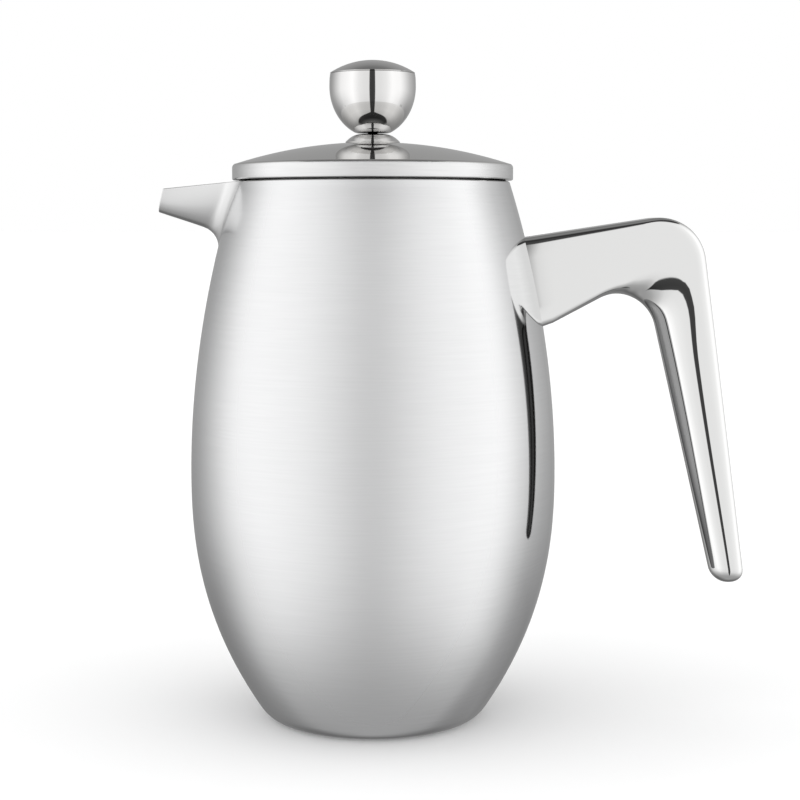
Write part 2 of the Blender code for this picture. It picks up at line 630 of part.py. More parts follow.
def make_mesh_screen():
    """Disc of fine woven wire with a crimped edge."""
    loop = [(THREAD_HOLE, 24.2 * MM), (39.4 * MM, 24.2 * MM), (39.8 * MM, 24.2 * MM), (41.4 * MM, 24.2 * MM),
            (41.6 * MM, 24.7 * MM), (41.4 * MM, 25.2 * MM), (39.8 * MM, 25.2 * MM), (39.4 * MM, 24.6 * MM),
            (THREAD_HOLE, 24.6 * MM)]
    return turned("mesh_screen", loop, "woven_wire")


def make_spiral_plate():
    """Perforated upper plate whose upturned edge carries the spring."""
    z = 24.9 * MM
    path = [(THREAD_HOLE, z), (36.6 * MM, z), (37.9 * MM, z + 1.2 * MM), (37.9 * MM, z + 3.4 * MM)]
    plate = turned("spiral_plate", sheet_loop(path, SHEET), "satin_steel")
    rings = [(10, 13.5, 1.9, 0.0), (16, 21.5, 1.9, 0.5), (22, 29.5, 1.9, 0.0)]
    cut(plate, cutter("spiral_holes", hole_ring_mesh(rings, z, 8)))
    return plate


def hole_ring_mesh(rings, z, sides):
    """Cylinders for rings of holes, each ring as (count, ring radius, hole radius, share of a pitch) in mm."""
    bm = bmesh.new()
    for count, ring_radius, hole_radius, phase in rings:
        for k in range(count):
            angle = math.tau * (k + phase) / count
            made = bmesh.ops.create_cone(
                bm, cap_ends=True, segments=sides, radius1=hole_radius * MM, radius2=hole_radius * MM,
                depth=8 * MM,
            )["verts"]
            place = (ring_radius * MM * math.cos(angle), ring_radius * MM * math.sin(angle), z)
            bmesh.ops.translate(bm, verts=made, vec=place)
    return bm


def make_edge_spring():
    """Outer shape of the long coil that runs round the filter's edge."""
    centre = (SPRING_RADIUS, 27.4 * MM)
    loop = arc(centre, SPRING_WIRE_RADIUS, 0, 360, 8)[:-1]
    return turned("edge_spring", loop, "spring_wire")


def make_upper_hub():
    """Flanged nut on the rod, above the plates."""
    z = 26.0 * MM
    loop = [(THREAD_HOLE, z), (8.0 * MM, z), (8.0 * MM, z + 1.4 * MM), (4.6 * MM, z + 1.9 * MM),
            (4.6 * MM, z + 5.0 * MM), (THREAD_HOLE, z + 5.0 * MM)]
    return turned("upper_hub", loop, "satin_steel", SMALL_STEPS)


def main():
    clear_scene()
    notch = make_outer_shell()
    make_inner_liner(notch)
    make_base_plate()
    make_spout()
    make_handle()
    make_lid_seal()
    make_lid_dome()
    make_lid_pan()
    make_strainer_skirt()
    make_guide_collar()
    make_collar_nut()
    make_rod_bush()
    make_plunger_rod()
    make_knob_cup()
    make_knob_cap()
    make_knob_washer()
    make_knob_nut()
    make_hub_nut()
    make_cross_plate()
    make_mesh_screen()
    make_spiral_plate()
    make_edge_spring()
    make_upper_hub()


main()
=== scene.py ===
# %% [markdown]
# # A steel french press, piece by piece
# The press is a barrel of brushed steel with a cup inside it, a welded spout, a cast and polished handle,
# a domed lid, and a plunger with a round knob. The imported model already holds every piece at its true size
# and place. This lesson gives each one its finished surface: first the studio, then the metals, then the
# pieces.

# %% Load the frame
import math

import bmesh
import bpy
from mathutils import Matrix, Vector


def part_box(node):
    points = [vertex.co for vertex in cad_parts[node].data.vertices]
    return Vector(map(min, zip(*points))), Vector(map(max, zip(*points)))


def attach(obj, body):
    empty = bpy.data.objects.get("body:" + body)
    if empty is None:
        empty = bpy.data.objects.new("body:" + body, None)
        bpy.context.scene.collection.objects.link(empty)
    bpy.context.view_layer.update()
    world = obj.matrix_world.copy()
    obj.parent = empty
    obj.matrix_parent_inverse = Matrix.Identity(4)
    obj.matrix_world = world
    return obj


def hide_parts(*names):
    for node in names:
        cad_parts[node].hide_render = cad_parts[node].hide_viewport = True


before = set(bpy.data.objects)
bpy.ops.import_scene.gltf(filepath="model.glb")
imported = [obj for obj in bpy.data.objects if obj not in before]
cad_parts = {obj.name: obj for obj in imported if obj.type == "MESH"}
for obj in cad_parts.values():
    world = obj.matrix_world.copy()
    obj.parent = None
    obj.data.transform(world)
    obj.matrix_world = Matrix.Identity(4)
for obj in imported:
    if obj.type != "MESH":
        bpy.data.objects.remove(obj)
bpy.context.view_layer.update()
MM = 0.001

# %% [markdown]
# ## The camera
# A product shot uses a long lens from a modest distance, so the lid shows as a thin ellipse and the sides
# stay nearly upright. The camera stands a little below the lid's height and looks slightly down.

# %% Camera
CAMERA_DISTANCE = 0.578
CAMERA_HEIGHT = 0.1679
CAMERA_PITCH = 5.877
CAMERA_YAW = 0.91
LENS = 76.5

camera_data = bpy.data.cameras.new("camera")
camera_data.lens = LENS
camera_data.sensor_width = 36.0
camera = bpy.data.objects.new("camera", camera_data)
camera.location = (0.0, -CAMERA_DISTANCE, CAMERA_HEIGHT)
camera.rotation_euler = (math.radians(90 - CAMERA_PITCH), 0.0, math.radians(-CAMERA_YAW))
bpy.context.scene.collection.objects.link(camera)
bpy.context.scene.camera = camera
bpy.context.scene.view_settings.view_transform = "Standard"
print("camera at", tuple(round(c, 3) for c in camera.location))

# %% [markdown]
# ## The studio
# Polished steel has no colour of its own: it shows the room. The room here is two tall soft panels, left
# and right, with a narrow dark gap between them, a grey ceiling, a grey floor and a dim back wall. They
# are drawn in the world shader by direction, which gives clean reflections with no visible lamps in the
# picture. Direction is turned into a bearing from the front and an elevation, and ramps over the two hold
# the brightness.

# %% World and direction
scene = bpy.context.scene
world = bpy.data.worlds.new("studio")
scene.world = world
world.use_nodes = True
sky = world.node_tree
sky.nodes.clear()


def math_node(tree, operation, *values):
    """A Math node. Each value is a number or an output to link."""
    node = tree.nodes.new("ShaderNodeMath")
    node.operation = operation
    for socket, value in zip(node.inputs, values):
        if isinstance(value, (int, float)):
            socket.default_value = value
        else:
            tree.links.new(value, socket)
    return node.outputs[0]


def ramp_node(tree, value, stops, interpolation="LINEAR"):
    """A Color Ramp through (position, grey or colour) stops."""
    node = tree.nodes.new("ShaderNodeValToRGB")
    node.color_ramp.interpolation = interpolation
    points = node.color_ramp.elements
    while len(points) < len(stops):
        points.new(0.5)
    for point, (position, colour) in zip(points, sorted(stops)):
        point.position = position
        grey = (colour,) * 3 if isinstance(colour, (int, float)) else colour
        point.color = (*grey, 1.0)
    tree.links.new(value, node.inputs[0])
    return node.outputs[0]


direction = sky.nodes.new("ShaderNodeTexCoord").outputs["Generated"]
split = sky.nodes.new("ShaderNodeSeparateXYZ")
sky.links.new(direction, split.inputs[0])
forward = math_node(sky, "MULTIPLY", split.outputs["Y"], -1.0)
signed = math_node(sky, "ARCTAN2", split.outputs["X"], forward)
bearing = math_node(sky, "ADD", math_node(sky, "DIVIDE", signed, math.tau), 0.5)
elevation = math_node(sky, "ARCSINE", split.outputs["Z"])
elevation = math_node(sky, "ADD", math_node(sky, "DIVIDE", elevation, math.pi), 0.5)
print("world ready:", world.name)

# %% [markdown]
# The ramps are easier to read in degrees. A table of bearings runs from -180, straight behind, round by
# the left to 0 at the front, and on by the right to 180. A table of elevations runs from -90, straight
# down, to 90.

# %% Tables in degrees


def by_bearing(table):
    """A ramp over the bearing, from (degrees, value) rows."""
    return ramp_node(sky, bearing, [(degrees / 360 + 0.5, value) for degrees, value in table])


def by_elevation(table):
    """A ramp over the elevation, from (degrees, value) rows."""
    return ramp_node(sky, elevation, [(degrees / 180 + 0.5, value) for degrees, value in table])


def blend_greys(blend, factor, first, second):
    """A Mix node on two colours. The factor and the second are each a number or an output."""
    node = sky.nodes.new("ShaderNodeMix")
    node.data_type = "RGBA"
    node.blend_type = blend
    sky.links.new(first, node.inputs[6])
    if isinstance(factor, (int, float)):
        node.inputs["Factor"].default_value = factor
    else:
        sky.links.new(factor, node.inputs["Factor"])
    if isinstance(second, (int, float)):
        node.inputs[7].default_value = (second, second, second, 1.0)
    else:
        sky.links.new(second, node.inputs[7])
    return node.outputs[2]


print("tables are read in degrees")

# %% [markdown]
# Each panel is brightest about 55 degrees from the front and fades towards the back wall. A second table
# dims the light towards the floor and the ceiling. Low down, where the panels end, their bright parts are
# held to one level. The barrel's lower half mirrors that region, so its shading comes from these few rows.

# %% Panels
PANELS = [(-180, 0.40), (-152, 0.40), (-140, 0.46), (-127, 0.62), (-111, 0.92), (-94, 1.28), (-56, 1.53),
          (-37, 1.22), (-22, 1.12), (0, 1.08), (22, 1.12), (37, 1.22), (54, 1.48), (80, 1.42), (91, 1.22),
          (103, 0.98), (117, 0.74), (135, 0.56), (152, 0.44), (180, 0.40)]
ELEVATIONS = [(-90, 0.46), (-76, 0.48), (-60, 0.60), (-48, 0.74), (-38, 0.92), (-12, 1.0), (30, 1.0),
              (44, 0.85), (50, 0.68), (56, 0.55), (90, 0.55)]
PANEL_FOOT, PANEL_FOOT_LEVEL = [(-90, 1.0), (-62, 1.0), (-25, 0.0), (90, 0.0)], 0.95

around = blend_greys("DARKEN", by_elevation(PANEL_FOOT), by_bearing(PANELS), PANEL_FOOT_LEVEL)
panels = blend_greys("MULTIPLY", 1.0, around, by_elevation(ELEVATIONS))
print("panels:", len(PANELS), "bearings,", len(ELEVATIONS), "elevations")

# %% [markdown]
# The gap between the panels is upright and narrow up to head height, and closes towards the floor. Above
# head height the panels lean apart, so the gap opens into a dark wedge. Its width is read from a table of
# elevations, and the bearing is divided by it.

# %% Gap between the panels
GAP_CENTRE = -0.8
GAP_WIDTHS = [(-90, 0.01), (-76, 0.01), (-56, 0.6), (-42, 1.1), (40, 1.0), (44, 3.0), (50, 9.0), (56, 14.0),
              (90, 14.0)]
GAP = [(0.0, 0.060), (6.8, 0.070), (7.8, 1.0)]

widest = max(width for _, width in GAP_WIDTHS)
opening = by_elevation([(degrees, width / widest) for degrees, width in GAP_WIDTHS])
off_centre = math_node(sky, "ABSOLUTE", math_node(sky, "SUBTRACT", signed, math.radians(GAP_CENTRE)))
across_gap = math_node(sky, "DIVIDE", off_centre, math_node(sky, "MULTIPLY", opening, widest * math.pi))
gap = ramp_node(sky, across_gap, [(degrees / 180, value) for degrees, value in GAP])
panels = blend_greys("MULTIPLY", 1.0, panels, gap)
print("gap half width in degrees:", GAP[-1][0])

# %% [markdown]
# The floor behind the press is darker than in front, so the barrel's lower edges go dark. Straight up and
# straight down every bearing meets in one point, which a mirror would show as a star. So the room fades to
# one even grey at both poles. Last, the camera itself is given a plain white backdrop instead of the room.

# %% Floor, ceiling and backdrop
BEHIND = [(62 / 180, 0.0), (125 / 180, 1.0)]
BELOW = [(-90, 1.0), (-22, 1.0), (-3, 0.0), (90, 0.0)]
FLOOR_BEHIND = 0.64
ZENITH, ZENITH_LEVEL = [(-90, 0.0), (60, 0.0), (80, 1.0), (90, 1.0)], 0.28
NADIR, NADIR_LEVEL = [(-90, 1.0), (-82, 1.0), (-58, 0.0), (90, 0.0)], 0.44

off_front = math_node(sky, "DIVIDE", math_node(sky, "ABSOLUTE", signed), math.pi)
low_behind = math_node(sky, "MULTIPLY", ramp_node(sky, off_front, BEHIND), by_elevation(BELOW))
dark_floor = math_node(sky, "MULTIPLY_ADD", low_behind, FLOOR_BEHIND - 1.0, 1.0)
room_light = blend_greys("MULTIPLY", 1.0, panels, dark_floor)
room_light = blend_greys("MIX", by_elevation(ZENITH), room_light, ZENITH_LEVEL)
room_light = blend_greys("MIX", by_elevation(NADIR), room_light, NADIR_LEVEL)

room = sky.nodes.new("ShaderNodeBackground")
sky.links.new(room_light, room.inputs["Color"])
backdrop = sky.nodes.new("ShaderNodeBackground")
backdrop.inputs["Color"].default_value = (1.0, 1.0, 1.0, 1.0)
seen = sky.nodes.new("ShaderNodeLightPath")
choose = sky.nodes.new("ShaderNodeMixShader")
sky.links.new(seen.outputs["Is Camera Ray"], choose.inputs["Fac"])
sky.links.new(room.outputs[0], choose.inputs[1])
sky.links.new(backdrop.outputs[0], choose.inputs[2])
world_out = sky.nodes.new("ShaderNodeOutputWorld")
sky.links.new(choose.outputs[0], world_out.inputs["Surface"])
print("the floor behind is", FLOOR_BEHIND, "times as bright as the floor in front")

# %% [markdown]
# ## Floor and overhead light
# A pale sheet under the press catches a soft shadow. One large lamp overhead lights it. The lamp and the
# sheet are hidden from mirror rays, because the drawn room already holds the ceiling and the floor.

# %% Floor and lamp
FLOOR_RADIUS, FLOOR_DROP = 40.0, 0.3 * MM
LAMP_STRENGTH, LAMP_SPREAD = 2.15, 80

floor_mesh = bmesh.new()
bmesh.ops.create_circle(floor_mesh, cap_ends=True, segments=96, radius=FLOOR_RADIUS)
floor_data = bpy.data.meshes.new("floor")
floor_mesh.to_mesh(floor_data)
floor_mesh.free()
floor = bpy.data.objects.new("floor", floor_data)
floor.location.z = -FLOOR_DROP
scene.collection.objects.link(floor)
floor.visible_glossy = False

paper = bpy.data.materials.new("pale_paper")
paper.use_nodes = True
paper_shader = paper.node_tree.nodes["Principled BSDF"]
paper_shader.inputs["Base Color"].default_value = (0.88, 0.88, 0.88, 1.0)
paper_shader.inputs["Roughness"].default_value = 0.9
paper_shader.inputs["Specular IOR Level"].default_value = 0.1
floor_data.materials.append(paper)

lamp_data = bpy.data.lights.new("overhead", "SUN")
lamp_data.angle = math.radians(LAMP_SPREAD)
lamp_data.energy = LAMP_STRENGTH
lamp = bpy.data.objects.new("overhead", lamp_data)
lamp.location = (0.0, 0.0, 1.0)
lamp.visible_glossy = False
scene.collection.objects.link(lamp)
print("floor ready, lamp strength", LAMP_STRENGTH)

# %% [markdown]
# ## Shared effects
# Two effects come back in many of the metals, so each is a node group that a material places with its own
# values. The first is brushing that runs round the axis: noise stretched along the turn and very fine
# across it. Cosine and sine of the bearing keep it free of a seam. The second is the faint unevenness and
# the hair scratches that a buffed surface keeps.

# %% Node group: brushing round an axis


def new_group(name, inputs, outputs):
    """A shader node group with float inputs (name, default) and outputs (name, socket type)."""
    group = bpy.data.node_groups.new(name, "ShaderNodeTree")
    for label, default in inputs:
        socket = group.interface.new_socket(label, in_out="INPUT", socket_type="NodeSocketFloat")
        socket.default_value = default
    for label, kind in outputs:
        group.interface.new_socket(label, in_out="OUTPUT", socket_type=kind)
    entry = group.nodes.new("NodeGroupInput")
    end = group.nodes.new("NodeGroupOutput")
    return group, entry.outputs, end.inputs


def noise_node(tree, vector, scale, detail=3.0, roughness=0.55):
    node = tree.nodes.new("ShaderNodeTexNoise")
    node.inputs["Detail"].default_value = detail
    node.inputs["Roughness"].default_value = roughness
    tree.links.new(vector, node.inputs["Vector"])
    if isinstance(scale, (int, float)):
        node.inputs["Scale"].default_value = scale
    else:
        tree.links.new(scale, node.inputs["Scale"])
    return node.outputs["Fac"]


def make_brushing_group():
    """Lines: fine strokes round Z. Streaks: broader bands of the same. Both are about 0.5 on average."""
    group, given, result = new_group(
        "brushing_round_axis", [("Strokes per metre", 4000.0), ("Stroke length", 6.0)],
        [("Lines", "NodeSocketFloat"), ("Streaks", "NodeSocketFloat")])
    place = group.nodes.new("ShaderNodeTexCoord").outputs["Object"]
    parts = group.nodes.new("ShaderNodeSeparateXYZ")
    group.links.new(place, parts.inputs[0])
    turn = math_node(group, "ARCTAN2", parts.outputs["Y"], parts.outputs["X"])
    reach = given["Stroke length"]
    joined = []
    for share in (1.0, 0.12):
        vector = group.nodes.new("ShaderNodeCombineXYZ")
        for socket, wave in (("X", "COSINE"), ("Y", "SINE")):
            group.links.new(math_node(group, "MULTIPLY", math_node(group, wave, turn), reach),
                            vector.inputs[socket])
        height = math_node(group, "MULTIPLY", parts.outputs["Z"], given["Strokes per metre"])
        group.links.new(math_node(group, "MULTIPLY", height, share), vector.inputs["Z"])
        joined.append(noise_node(group, vector.outputs[0], 1.0))
    group.links.new(joined[0], result["Lines"])
    group.links.new(joined[1], result["Streaks"])
    return group


brushing = make_brushing_group()
print("group", brushing.name)

# %% Node group: buffed surface


def make_buffing_group():
    """Ripple: the soft waviness of a hand-buffed surface. Smudge: faint patches. Hairs: thin scratches."""
    group, given, result = new_group(
        "buffed_surface", [("Ripple size", 60.0), ("Scratch size", 900.0)],
        [("Ripple", "NodeSocketFloat"), ("Smudge", "NodeSocketFloat"), ("Hairs", "NodeSocketFloat")])
    place = group.nodes.new("ShaderNodeTexCoord").outputs["Object"]
    group.links.new(noise_node(group, place, given["Ripple size"], 1.0), result["Ripple"])
    group.links.new(noise_node(group, place, 35.0, 4.0, 0.6), result["Smudge"])
    stretch = group.nodes.new("ShaderNodeMapping")
    stretch.inputs["Scale"].default_value = (1.0, 1.0, 0.06)
    stretch.inputs["Rotation"].default_value = (0.35, 0.2, 0.0)
    group.links.new(place, stretch.inputs["Vector"])
    hairs = noise_node(group, stretch.outputs[0], given["Scratch size"], 2.0)
    group.links.new(ramp_node(group, hairs, [(0.62, 0.0), (0.70, 1.0)]), result["Hairs"])
    return group


buffing = make_buffing_group()
print("group", buffing.name)

# %% [markdown]
# ## Metals
# Every steel is a Principled shader with Metallic at 1. What tells the finishes apart is roughness, its
# variation, and whether the fine grooves have a direction. Brushed steel spreads a highlight across its
# grooves, so its shader is anisotropic, with the tangent running round the axis.

# %% Material helpers


def new_material(name, colour, roughness, metallic=1.0):
    """A material with its Principled shader, and its node tree."""
    material = bpy.data.materials.new(name)
    material.use_nodes = True
    shader = material.node_tree.nodes["Principled BSDF"]
    shader.inputs["Base Color"].default_value = (*colour, 1.0)
    shader.inputs["Roughness"].default_value = roughness
    shader.inputs["Metallic"].default_value = metallic
    material.diffuse_color = (*colour, 1.0)
    return material, material.node_tree, shader


def place_group(tree, group, **values):
    """Places a node group and sets its inputs, given with _ for spaces."""
    node = tree.nodes.new("ShaderNodeGroup")
    node.node_tree = group
    for label, value in values.items():
        node.inputs[label.replace("_", " ")].default_value = value
    return node.outputs


def spread(tree, value, low, high):
    """Maps 0..1 to low..high."""
    node = tree.nodes.new("ShaderNodeMapRange")
    node.inputs["To Min"].default_value = low
    node.inputs["To Max"].default_value = high
    tree.links.new(value, node.inputs["Value"])
    return node.outputs["Result"]


def add_bump(tree, shader, height, distance, strength=1.0):
    """Feeds a height into the shader's normal. The distance is in metres."""
    bump = tree.nodes.new("ShaderNodeBump")
    bump.inputs["Distance"].default_value = distance
    bump.inputs["Strength"].default_value = strength
    tree.links.new(height, bump.inputs["Height"])
    tree.links.new(bump.outputs["Normal"], shader.inputs["Normal"])


def tint(tree, shader, value, dark, light):
    """Feeds the base colour with a blend of two colours."""
    colour = ramp_node(tree, value, [(0.3, dark), (0.7, light)])
    tree.links.new(colour, shader.inputs["Base Color"])


def place_parts(tree):
    """The place on the surface, in metres, as the outputs X, Y and Z."""
    parts = tree.nodes.new("ShaderNodeSeparateXYZ")
    tree.links.new(tree.nodes.new("ShaderNodeTexCoord").outputs["Object"], parts.inputs[0])
    return parts.outputs


def brushed(name, dark, light, rough_low, rough_high, anisotropy, strokes=4000.0, length=6.0, depth=2e-6,
            graze=1.0, from_x=None, far=0.6):
    """Steel brushed round the vertical axis. At a grazing view its roughness falls to the share in graze.

    With from_x, that fall is whole only past this X. Before it, it has the part given in far, and it grows
    over 20 mm between the two.
    """
    material, tree, shader = new_material(name, light, (rough_low + rough_high) / 2)
    grooves = place_group(tree, brushing, Strokes_per_metre=strokes, Stroke_length=length)
    tint(tree, shader, grooves["Streaks"], dark, light)
    rough = spread(tree, grooves["Lines"], rough_low, rough_high)
    if graze < 1.0:
        facing = tree.nodes.new("ShaderNodeLayerWeight").outputs["Facing"]
        share = ramp_node(tree, facing, [(0.12, 1.0), (0.5, graze), (0.8, graze * 0.8)], "EASE")
        if from_x is not None:
            side = tree.nodes.new("ShaderNodeMapRange")
            side.inputs["From Min"].default_value = from_x - 20 * MM
            side.inputs["From Max"].default_value = from_x
            side.inputs["To Min"].default_value = far
            tree.links.new(place_parts(tree)["X"], side.inputs["Value"])
            lost = math_node(tree, "SUBTRACT", 1.0, share)
            lost = math_node(tree, "MULTIPLY", side.outputs["Result"], lost)
            share = math_node(tree, "SUBTRACT", 1.0, lost)
        rough = math_node(tree, "MULTIPLY", rough, share)
    tree.links.new(rough, shader.inputs["Roughness"])
    add_bump(tree, shader, grooves["Lines"], depth)
    shader.inputs["Anisotropic"].default_value = anisotropy
    tangent = tree.nodes.new("ShaderNodeTangent")
    tangent.direction_type = "RADIAL"
    tangent.axis = "Z"
    tree.links.new(tangent.outputs[0], shader.inputs["Tangent"])
    return material


def polished(name, colour, rough_low, rough_high, ripple_depth=3e-6, ripple_size=60.0):
    """Steel buffed to a mirror, with the little unevenness that a buff leaves."""
    material, tree, shader = new_material(name, colour, rough_low)
    buffed = place_group(tree, buffing, Ripple_size=ripple_size)
    worn = math_node(tree, "ADD", math_node(tree, "MULTIPLY", buffed["Smudge"], 0.8),
                     math_node(tree, "MULTIPLY", buffed["Hairs"], 0.25))
    tree.links.new(spread(tree, worn, rough_low, rough_high), shader.inputs["Roughness"])
    add_bump(tree, shader, buffed["Ripple"], ripple_depth)
    return material


def paint_shade_for_mirror_rays(material, share, limit=None, fade=3 * MM):
    """Painted shade for mirror rays: other pieces mirror this one darker than it is seen directly.

    With a limit, that holds only where Z less X is under it, and it comes in over the distance in fade.
    """
    tree = material.node_tree
    colour_in = tree.nodes["Principled BSDF"].inputs["Base Color"]
    amount = tree.nodes.new("ShaderNodeLightPath").outputs["Is Glossy Ray"]
    if limit is not None:
        place = place_parts(tree)
        slanted = math_node(tree, "SUBTRACT", place["Z"], place["X"])
        below = tree.nodes.new("ShaderNodeMapRange")
        below.inputs["From Min"].default_value = limit
        below.inputs["From Max"].default_value = limit - fade
        tree.links.new(slanted, below.inputs["Value"])
        amount = math_node(tree, "MULTIPLY", amount, below.outputs["Result"])
    dimmed = tree.nodes.new("ShaderNodeMix")
    dimmed.data_type = "RGBA"
    dimmed.blend_type = "MULTIPLY"
    tree.links.new(amount, dimmed.inputs["Factor"])
    if colour_in.links:
        tree.links.new(colour_in.links[0].from_socket, dimmed.inputs[6])
    else:
        dimmed.inputs[6].default_value = colour_in.default_value
    dimmed.inputs[7].default_value = (share, share, share, 1.0)
    tree.links.new(dimmed.outputs[2], colour_in)


# %% [markdown]
# The barrel is brushed all round on a belt, in long fine strokes. The lid's band is brushed a little
# finer. The handle, knob, collar and dome are buffed to a mirror. The spout is between the two: a satin
# polish. The barrel mirrors the grip as one crisp dark streak. Two settings give it: the barrel's
# roughness falls at a grazing view, most on the handle's side, and the grip's colour is painted much
# darker for mirror rays than for the camera, as painted shade for the grip's shaded back. The barrel's
# colour is painted darker for mirror rays too, a painted darker reflection, so the polished pieces mirror
# a greyer barrel.

# %% Steels of the outside
# The first two shares are painted shade: they darken the barrel's and the grip's colours for mirror rays
# only.
BARREL_MIRROR_SHADE = 0.55
GRIP_MIRROR_SHADE, GRIP_LIMIT = 0.06, 50 * MM
HANDLE_SIDE = 30 * MM

barrel_steel = brushed("barrel_brushed", (0.725, 0.727, 0.731), (0.750, 0.752, 0.756), 0.39, 0.44, 0.6,
                       strokes=14000.0, length=3.0, depth=1.0e-6, graze=0.10, from_x=HANDLE_SIDE)
# Painted shade: mirror rays see the barrel's colour darker than the camera does.
paint_shade_for_mirror_rays(barrel_steel, BARREL_MIRROR_SHADE)
band_steel = brushed("band_brushed", (0.75, 0.75, 0.75), (0.80, 0.80, 0.80), 0.44, 0.50, 0.6,
                     strokes=12000.0, length=3.0, graze=0.4)
mirror_steel = polished("mirror_polish", (0.665, 0.66, 0.655), 0.02, 0.05)
# The handle's copy of the mirror polish is painted lighter than the knob's, as painted light for the
# brighter arm.
handle_steel = polished("handle_polish", (0.695, 0.695, 0.69), 0.02, 0.05)
# Painted shade: below the slanted limit, mirror rays see the grip's colour far darker than the camera does.
paint_shade_for_mirror_rays(handle_steel, GRIP_MIRROR_SHADE, limit=GRIP_LIMIT)
dome_steel = polished("dome_polish", (0.645, 0.64, 0.63), 0.03, 0.07, ripple_depth=2e-6, ripple_size=40.0)
spout_steel = polished("spout_satin_polish", (0.64, 0.64, 0.64), 0.16, 0.24, ripple_depth=4e-6,
                       ripple_size=80.0)
liner_steel = brushed("liner_satin", (0.56, 0.56, 0.55), (0.62, 0.62, 0.61), 0.30, 0.40, 0.5,
                      strokes=5000.0, length=3.0)
plate_steel = polished("pressed_satin", (0.60, 0.595, 0.58), 0.22, 0.34, ripple_depth=6e-6,
                       ripple_size=160.0)
turned_steel = brushed("turned_bar", (0.58, 0.57, 0.56), (0.65, 0.64, 0.63), 0.16, 0.26, 0.4,
                       strokes=9000.0, length=2.0)
print("steels:", [m.name for m in bpy.data.materials if m.name != paper.name])

# %% [markdown]
# ## Black silicone, white sleeve, bright wire and woven cloth
# The lid's ring is matt silicone, which picks up dust, so its roughness varies in patches. The sleeve that
# the rod runs in is natural white plastic, slightly waxy. The spring is drawn wire with lengthwise draw
# marks.

# %% Other finishes


def soft_plastic(name, dark, light, rough_low, rough_high, grain_scale, grain_depth):
    """A moulded finish: soft patches of colour and roughness over a fine grain."""
    material, tree, shader = new_material(name, light, rough_high, 0.0)
    place = tree.nodes.new("ShaderNodeTexCoord").outputs["Object"]
    patches = noise_node(tree, place, 60.0, 3.0)
    grain = noise_node(tree, place, grain_scale, 2.0)
    tint(tree, shader, patches, dark, light)
    tree.links.new(spread(tree, patches, rough_low, rough_high), shader.inputs["Roughness"])
    add_bump(tree, shader, grain, grain_depth)
    return material


silicone = soft_plastic("black_silicone", (0.012, 0.012, 0.013), (0.024, 0.024, 0.026), 0.5, 0.72,
                        grain_scale=2500.0, grain_depth=1e-5)
sleeve_plastic = soft_plastic("white_sleeve", (0.80, 0.79, 0.75), (0.87, 0.86, 0.83), 0.35, 0.5,
                              grain_scale=1500.0, grain_depth=6e-6)
sleeve_plastic.node_tree.nodes["Principled BSDF"].inputs["Subsurface Weight"].default_value = 0.1
wire_steel = polished("drawn_wire", (0.80, 0.79, 0.77), 0.12, 0.22, ripple_depth=2e-6, ripple_size=900.0)
print("soft finishes:", silicone.name, sleeve_plastic.name, wire_steel.name)

# %% [markdown]
# Woven wire cloth is two sets of fine wires, over and under each other. Two sine waves across X and Y make
# the wires, and their product makes the over and under. The holes between them are see-through on the real
# disc. Here the bump makes them deep, and their colour is painted near black, as painted shade for the
# plates that lie against the cloth.

# %% Woven wire cloth
WIRE_PITCH = 0.45 * MM
cloth_steel, cloth, cloth_shader = new_material("woven_wire_cloth", (0.62, 0.615, 0.60), 0.35)
cloth_parts = place_parts(cloth)
waves = []
for axis_name in ("X", "Y"):
    phase = math_node(cloth, "MULTIPLY", cloth_parts[axis_name], math.tau / WIRE_PITCH)
    slow = math_node(cloth, "COSINE", math_node(cloth, "MULTIPLY", phase, 0.5))
    waves.append((math_node(cloth, "SINE", phase), slow))
crossing = math_node(cloth, "MULTIPLY", waves[0][1], waves[1][1])
over = math_node(cloth, "ADD", waves[0][0], crossing)
under = math_node(cloth, "SUBTRACT", waves[1][0], crossing)
wires = math_node(cloth, "MAXIMUM", over, under)
wires = math_node(cloth, "ADD", math_node(cloth, "MULTIPLY", wires, 0.35), 0.4)
# Low in the weave the colour goes near black: painted shade in the holes between the wires.
tint(cloth, cloth_shader, wires, (0.06, 0.06, 0.058), (0.66, 0.65, 0.63))
cloth.links.new(spread(cloth, wires, 0.5, 0.25), cloth_shader.inputs["Roughness"])
add_bump(cloth, cloth_shader, wires, 1.5e-4, 0.7)
print("wire pitch in mm:", WIRE_PITCH / MM)

# %% [markdown]
# ## How the round pieces are made
# Most of the press is turned or spun, so one helper takes half of a section, as a closed outline in radius
# and height, and spins it into a solid. Another rounds the corners of an outline with true arcs, so each
# outline below only lists its corners. Broken edges catch the light the way real sheet and bar do. Large
# pieces take 192 steps round the axis, and small ones 96.

# %% Shape helpers
FINE = 192
SMALL = 96


def finish_mesh(name, builder, materials, body, *replaced, sharp=35.0, slot=None):
    """Makes the object, shades it smooth up to a sharp angle, and lets it stand for its CAD nodes."""
    bmesh.ops.recalc_face_normals(builder, faces=builder.faces[:])
    mesh = bpy.data.meshes.new(name)
    builder.to_mesh(mesh)
    builder.free()
    mesh.shade_smooth()
    mesh.set_sharp_from_angle(angle=math.radians(sharp))
    obj = bpy.data.objects.new(name, mesh)
    scene.collection.objects.link(obj)
    for material in materials:
        mesh.materials.append(material)
    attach(obj, body)
    if replaced:
        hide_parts(*replaced)
    heights = [vertex.co.z for vertex in mesh.vertices]
    low, high = min(heights), max(heights)
    print(f"{name}: {len(mesh.polygons)} faces, z {low / MM:.1f} to {high / MM:.1f} mm")
    return obj


